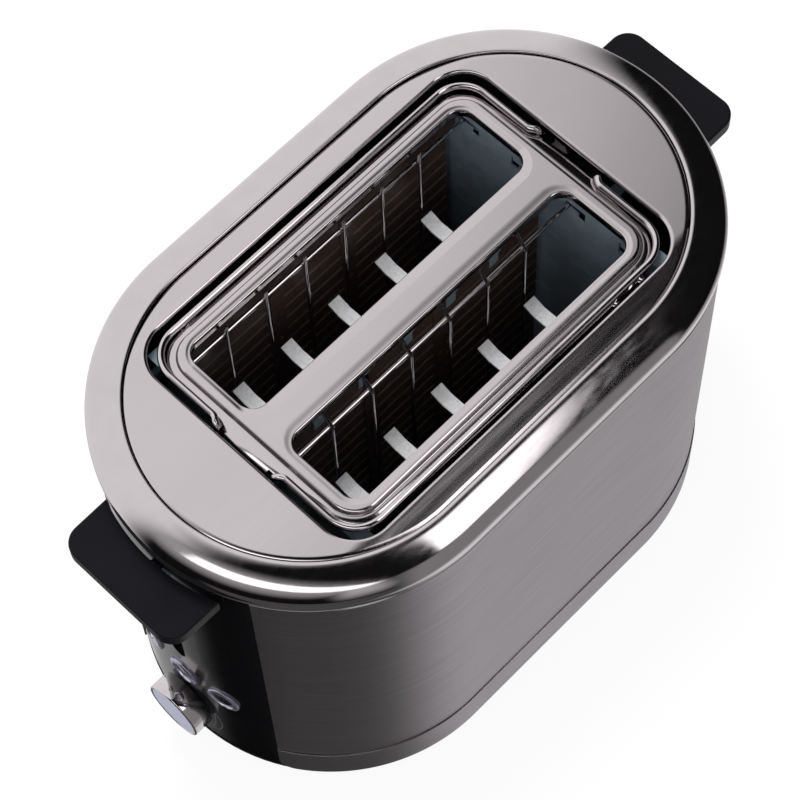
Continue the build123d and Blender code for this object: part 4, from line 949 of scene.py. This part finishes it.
class TOASTER_OT_heating(bpy.types.Operator):
    """Mica boards, their ribbon and the reflectors behind them"""

    bl_idname = "toaster.heating"
    bl_label = "Heating boards"

    def execute(self, context):
        for place in ("left", "centre", "right"):
            dress("pressed_mica", f"heater_board_{place}")
            dress("rolled_resistance_ribbon", f"heating_ribbon_{place}")
        dress("galvanised_sheet", "reflector_left", "reflector_right")
        face, room, sheet = BOARD_FACE * MM, RIBBON_ROOM * MM, CLAMP_SHEET * MM
        low, high = BOARD_LOW.z + STRIP_FOOT * MM, BOARD_HIGH.z - STRIP_TOP * MM
        boards = [("left", BOARD_HIGH.x, 1), ("centre_left", -face, -1), ("centre_right", face, 1)]
        boards.append(("right", -BOARD_HIGH.x, -1))
        step = (0.0, STRIP_STEP, 0.0)
        for place, x, side in boards:
            near, far = x + side * room, x + side * (room + sheet)
            outline = [(near, low), (far, low + sheet), (far, high - sheet), (near, high)]
            strip = folded_strip("strip_sample", outline, STRIP_HALF * MM)
            start = (0.0, STRIP_START, 0.0)
            lay_copies(f"mica_strips_{place}", strip, start, step, STRIP_COUNT, "pressed_mica", "mica")
            head = [(radius * MM, height * MM) for radius, height in RIVET_HEAD]
            turn = Matrix.Rotation(side * pi / 2, 4, "Y")
            rivet = lathe("rivet_sample", head, Vector((far - side * RIVET_SUNK * MM, 0.0, 0.0)), turn, steps=16)
            start = (0.0, STRIP_START, RIVET_HEIGHT)
            lay_copies(f"copper_rivets_{place}", rivet, start, step, STRIP_COUNT, "riveted_copper", "copper")
        foot, bend, head = [height * MM for height in CLIP_HEIGHTS]
        near, far = face + room, face + room + sheet
        lips = [(far + CLIP_LEAN[0] * MM, head), (far + CLIP_LEAN[1] * MM, head + sheet)]
        outline = [(near, foot), (far, foot), (far, bend), *lips, (near, bend)]
        start, step = (0.0, CLIP_START, 0.0), (0.0, CLIP_STEP, 0.0)
        for name, side in (("left", -1), ("right", 1)):
            clip = folded_strip("clip_sample", [(side * x, z) for x, z in outline], CLIP_HALF * MM)
            lay_copies(f"board_clips_{name}", clip, start, step, CLIP_COUNT, "galvanised_sheet", "galvanised")
        return {"FINISHED"}


class TOASTER_OT_guards(bpy.types.Operator):
    """Wire guards that centre the bread"""

    bl_idname = "toaster.guards"
    bl_label = "Bread guards"

    def execute(self, context):
        for place in ("left_outer", "left_inner", "right_inner", "right_outer"):
            dress("chromed_wire", f"guard_{place}")
        return {"FINISHED"}


class TOASTER_OT_racks(bpy.types.Operator):
    """Bread racks with the carriage, its rod, spring and magnet"""

    bl_idname = "toaster.racks"
    bl_label = "Bread racks and carriage"

    def execute(self, context):
        dress("bright_drawn_steel", "guide_rod", "keeper_plate", "magnet_core")
        # The spring's own mesh, merged, on the body
        mesh = bmesh.new()
        mesh.from_mesh(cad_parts["return_spring"].data)
        bmesh.ops.remove_doubles(mesh, verts=mesh.verts, dist=SAME_POINT)
        spring = new_piece("coiled_return_spring", mesh)
        settle(spring, SHELL, ["bright_drawn_steel"], ["return_spring"])
        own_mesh(spring)
        dress("zinc_plated_strip", "bread_rack_left", "bread_rack_right")
        dress("galvanised_sheet", "carriage", "bun_rack_frame")
        dress("enamelled_copper", "magnet_coil")
        return {"FINISHED"}


class TOASTER_OT_chassis(bpy.types.Operator):
    """Chassis plates, base, feet and mains terminals"""

    bl_idname = "toaster.chassis"
    bl_label = "Chassis and base"

    def execute(self, context):
        dress("galvanised_sheet", "chassis_front", "chassis_rear")
        dress("bright_drawn_steel", "chassis_screws", "handle_screws")
        dress("satin_moulded_plastic", "base_plate")
        dress("moulded_rubber", "rubber_feet")
        dress("glazed_ceramic", "terminal_block")
        return {"FINISHED"}


# Camera as solved from the photograph: angles in degrees, lens and sensor in millimetres, and the rest in metres
CAMERA_AZIMUTH, CAMERA_ELEVATION, CAMERA_ROLL = 47.01056644, 63.88021244, -3.17329858
CAMERA_TARGET = Vector((0.0, 0.0, 178.0 * MM))
CAMERA_DISTANCE = 920.33833511 * MM
CAMERA_ASIDE = (-3.55797023 * MM, -34.68219168 * MM)
CAMERA_LENS, CAMERA_SENSOR = 122.14446456, 36.0
CAMERA_CLIP = (0.01, 100.0)

# Studio as metal mirrors it. Each zone has a brightness and the edges that bound it; an edge is a slope across the
# mirrored direction, with the values at which the zone starts and at which it is full. The brightest zone shows
ZONES = (
    ("dark room", 0.006, ()),
    ("white wall on the left", 0.95, (
        ((-1, -0.45, 0), -0.02, 0.235), ((-1, 0.30, 0), 0.05, 0.35),
        ((0, 0, -1), -0.985, -0.93), ((0, 0, 1), -1.30, -0.50),
    )),
    ("front softbox", 2.0, (
        ((0.15, -1, -0.3), 0.05, 0.10), ((-0.32, 1, 1.44), 0.46, 0.56),
        ((-1, 0, 0), -0.70, -0.58), ((1, 0, 0), -0.24, -0.16),
    )),
    ("glow below the front softbox", 0.42, (
        ((0, 0, 1), 0.30, 0.85), ((0, -1, 0), 0.10, 0.40), ((-1, 0, 0), -0.75, -0.55),
    )),
    ("right softbox", 2.0, (
        ((0, -1, 0.127), -0.235, -0.205), ((0.16, 1, 0.06), 0.255, 0.285), ((-1, 0, 0), -0.66, -0.62),
        ((1, 0, 0), -0.12, -0.05), ((0, 0, 1), 0.5, 0.6),
    )),
    ("grey wall on the right", 0.27, (
        ((0, 0, -1), -0.78, -0.70), ((0.60, -1, 0), 0.0, 0.12), ((0.40, 1, 0), 0.0, 0.30),
    )),
    ("its lighter upper end", 0.60, (
        ((0, 0, -1), -0.80, -0.70), ((0, 0, 1), -0.30, 0.80),
        ((-0.15, -1, 0), 0.0, 0.25), ((0.95, 1, 0), 0.0, 0.25),
    )),
    ("white table behind", 0.80, (((0, 1, 0), -0.22, 0.20), ((0, 0, -1), 0.40, 0.75))),
    ("its far edge", 0.42, (((0, 1, 0), -0.22, 0.20), ((0, 0, -1), 0.12, 0.45))),
    ("dark table in front", 0.08, (((0, 0, -1), 0.10, 0.30), ((1, 0, 0), -0.04, 0.10))),
)

# Lamps: where each shines from, its distance and its size in metres. They face a point in the toaster's middle
SOFTBOXES = (
    ("key", (0.62, -0.58, 0.53), 1.3, (1.1, 1.0)),
    ("fill", (-0.25, 0.05, 0.97), 1.5, (0.35, 0.6)),
)
LAMP_TARGET = Vector((0.0, 0.0, 0.1))
FLOOR_SIZE = 6.0  # metres from the middle to the floor's edges
FLOOR_GLOW = 0.9  # share of the floor that shows as white paper; the rest shows the shadow
WHITE = (1.0, 1.0, 1.0, 1.0)


def place_camera(scene):
    """Camera at the photograph's viewing angle."""
    azimuth, elevation, roll = (radians(a) for a in (CAMERA_AZIMUTH, CAMERA_ELEVATION, CAMERA_ROLL))
    back = Vector((sin(azimuth) * cos(elevation), -cos(azimuth) * cos(elevation), sin(elevation)))
    right = Vector((cos(azimuth), sin(azimuth), 0.0))
    up = back.cross(right)
    across = right * cos(roll) + up * sin(roll)
    upright = up * cos(roll) - right * sin(roll)
    data = bpy.data.cameras.new("photo_camera")
    data.lens, data.sensor_width = CAMERA_LENS, CAMERA_SENSOR
    data.clip_start, data.clip_end = CAMERA_CLIP
    camera = bpy.data.objects.new("photo_camera", data)
    scene.collection.objects.link(camera)
    turned = Matrix((across, upright, back)).transposed().to_4x4()
    place = CAMERA_TARGET + back * CAMERA_DISTANCE + across * CAMERA_ASIDE[0] + upright * CAMERA_ASIDE[1]
    camera.matrix_world = Matrix.Translation(place) @ turned
    scene.camera = camera


def seen_by_eye(tree):
    """Light Path's outputs, and the socket that is 1 where the eye looks straight, in a mirror or through glass."""
    rays = add_node(tree, "ShaderNodeLightPath").outputs
    pair = {0: rays["Is Glossy Ray"], 1: rays["Is Transmission Ray"]}
    mirrored = add_node(tree, "ShaderNodeMath", pair, operation="MAXIMUM")
    seen = add_node(
        tree, "ShaderNodeMath", {0: mirrored.outputs[0], 1: rays["Is Camera Ray"]}, operation="MAXIMUM"
    )
    return rays, seen.outputs[0]


def light_room(scene, ambient):
    """Studio of bright and dark zones that mirrors and glass show, and an even grey light on everything else."""
    world = bpy.data.worlds.new("studio")
    world.use_nodes = True
    scene.world = world
    tree = world.node_tree
    tree.nodes.clear()
    direction = add_node(tree, "ShaderNodeTexCoord").outputs["Generated"]
    tent = 0.0
    for _, level, bounds in ZONES:
        zone = level
        for slope, start, end in bounds:
            along = add_node(tree, "ShaderNodeVectorMath", {0: direction, 1: slope}, operation="DOT_PRODUCT")
            ends = {"Value": along.outputs["Value"], "From Min": start, "From Max": end}
            gate = add_node(tree, "ShaderNodeMapRange", ends, interpolation_type="SMOOTHSTEP")
            part = add_node(tree, "ShaderNodeMath", {0: gate.outputs["Result"], 1: zone}, operation="MULTIPLY")
            zone = part.outputs[0]
        tent = add_node(tree, "ShaderNodeMath", {0: tent, 1: zone}, operation="MAXIMUM").outputs[0]
    rays, seen = seen_by_eye(tree)
    shown = {"Factor": rays["Is Camera Ray"], 2: tent, 3: 1.0}
    reflected = add_node(tree, "ShaderNodeMix", shown, data_type="FLOAT")
    given = {"Factor": seen, 2: ambient, 3: reflected.outputs[0]}
    strength = add_node(tree, "ShaderNodeMix", given, data_type="FLOAT")
    light = add_node(tree, "ShaderNodeBackground", {"Color": WHITE, "Strength": strength.outputs[0]})
    add_node(tree, "ShaderNodeOutputWorld", {"Surface": light.outputs["Background"]})


def add_softbox(scene, name, direction, distance, size, power):
    """Oblong area lamp that faces the toaster."""
    data = bpy.data.lights.new(name, "AREA")
    data.shape = "RECTANGLE"
    data.size, data.size_y = size
    data.energy = power
    lamp = bpy.data.objects.new(name, data)
    towards = Vector(direction).normalized()
    lamp.location = LAMP_TARGET + towards * distance
    lamp.rotation_euler = towards.to_track_quat("Z", "Y").to_euler()
    lamp.visible_glossy = False
    scene.collection.objects.link(lamp)


def lay_floor():
    """Pale paper floor that shows white to the eye and still holds the toaster's shadow."""
    mesh = bmesh.new()
    bmesh.ops.create_grid(mesh, x_segments=1, y_segments=1, size=FLOOR_SIZE)
    floor = new_piece("studio_floor", mesh)
    paper = bpy.data.materials.new("pale_paper")
    paper.use_nodes = True
    tree = paper.node_tree
    tree.nodes.clear()
    lit = add_node(tree, "ShaderNodeBsdfDiffuse", {"Color": linear("#FAF9F9")})
    white = add_node(tree, "ShaderNodeEmission", {"Color": WHITE, "Strength": 1.0})
    _, seen = seen_by_eye(tree)
    share = add_node(tree, "ShaderNodeMath", {0: seen, 1: FLOOR_GLOW}, operation="MULTIPLY")
    both = add_node(tree, "ShaderNodeMixShader", {0: share.outputs[0], 1: lit.outputs[0], 2: white.outputs[0]})
    add_node(tree, "ShaderNodeOutputMaterial", {"Surface": both.outputs[0]})
    floor.data.materials.append(paper)
    floor.visible_glossy = False


class TOASTER_OT_studio(bpy.types.Operator):
    """Pale floor, soft studio light and the camera"""

    bl_idname = "toaster.studio"
    bl_label = "Studio"

    def execute(self, context):
        scene = context.scene
        studio = scene.toaster_studio
        lay_floor()
        light_room(scene, studio.ambient)
        for name, direction, distance, size in SOFTBOXES:
            add_softbox(scene, f"{name}_softbox", direction, distance, size, getattr(studio, name))
        place_camera(scene)
        scene.view_settings.view_transform = "Standard"
        return {"FINISHED"}


STEPS = (
    TOASTER_OT_studio,
    TOASTER_OT_rim,
    TOASTER_OT_top_plate,
    TOASTER_OT_slot_panel,
    TOASTER_OT_side_panels,
    TOASTER_OT_bun_wires,
    TOASTER_OT_end_panels,
    TOASTER_OT_grips,
    TOASTER_OT_controls,
    TOASTER_OT_heating,
    TOASTER_OT_guards,
    TOASTER_OT_racks,
    TOASTER_OT_chassis,
)


class TOASTER_PT_sidebar(bpy.types.Panel):
    """Lists the toaster's pieces, sizes and colours"""

    bl_idname = "TOASTER_PT_sidebar"
    bl_label = "Two-slice toaster"
    bl_space_type = "VIEW_3D"
    bl_region_type = "UI"
    bl_category = "Toaster"

    def draw(self, context):
        layout = self.layout
        for step in STEPS:
            layout.operator(step.bl_idname)
        for group in (context.scene.toaster_sizes, context.scene.toaster_colours, context.scene.toaster_studio):
            box = layout.box()
            for name in group.__annotations__:
                box.prop(group, name)


GROUPS = {"toaster_sizes": ToasterSizes, "toaster_colours": ToasterColours, "toaster_studio": ToasterStudio}


def register():
    """Registers the groups, the operators and the panel."""
    for name, group in GROUPS.items():
        bpy.utils.register_class(group)
        setattr(bpy.types.Scene, name, PointerProperty(type=group))
    for kind in (*STEPS, TOASTER_PT_sidebar):
        bpy.utils.register_class(kind)


def unregister():
    """Takes away what register added."""
    for kind in (TOASTER_PT_sidebar, *reversed(STEPS)):
        bpy.utils.unregister_class(kind)
    for name, group in GROUPS.items():
        delattr(bpy.types.Scene, name)
        bpy.utils.unregister_class(group)


def main():
    """Builds every piece."""
    register()
    for step in STEPS:
        family, name = step.bl_idname.split(".")
        getattr(getattr(bpy.ops, family), name)()


if __name__ == "__main__":
    main()
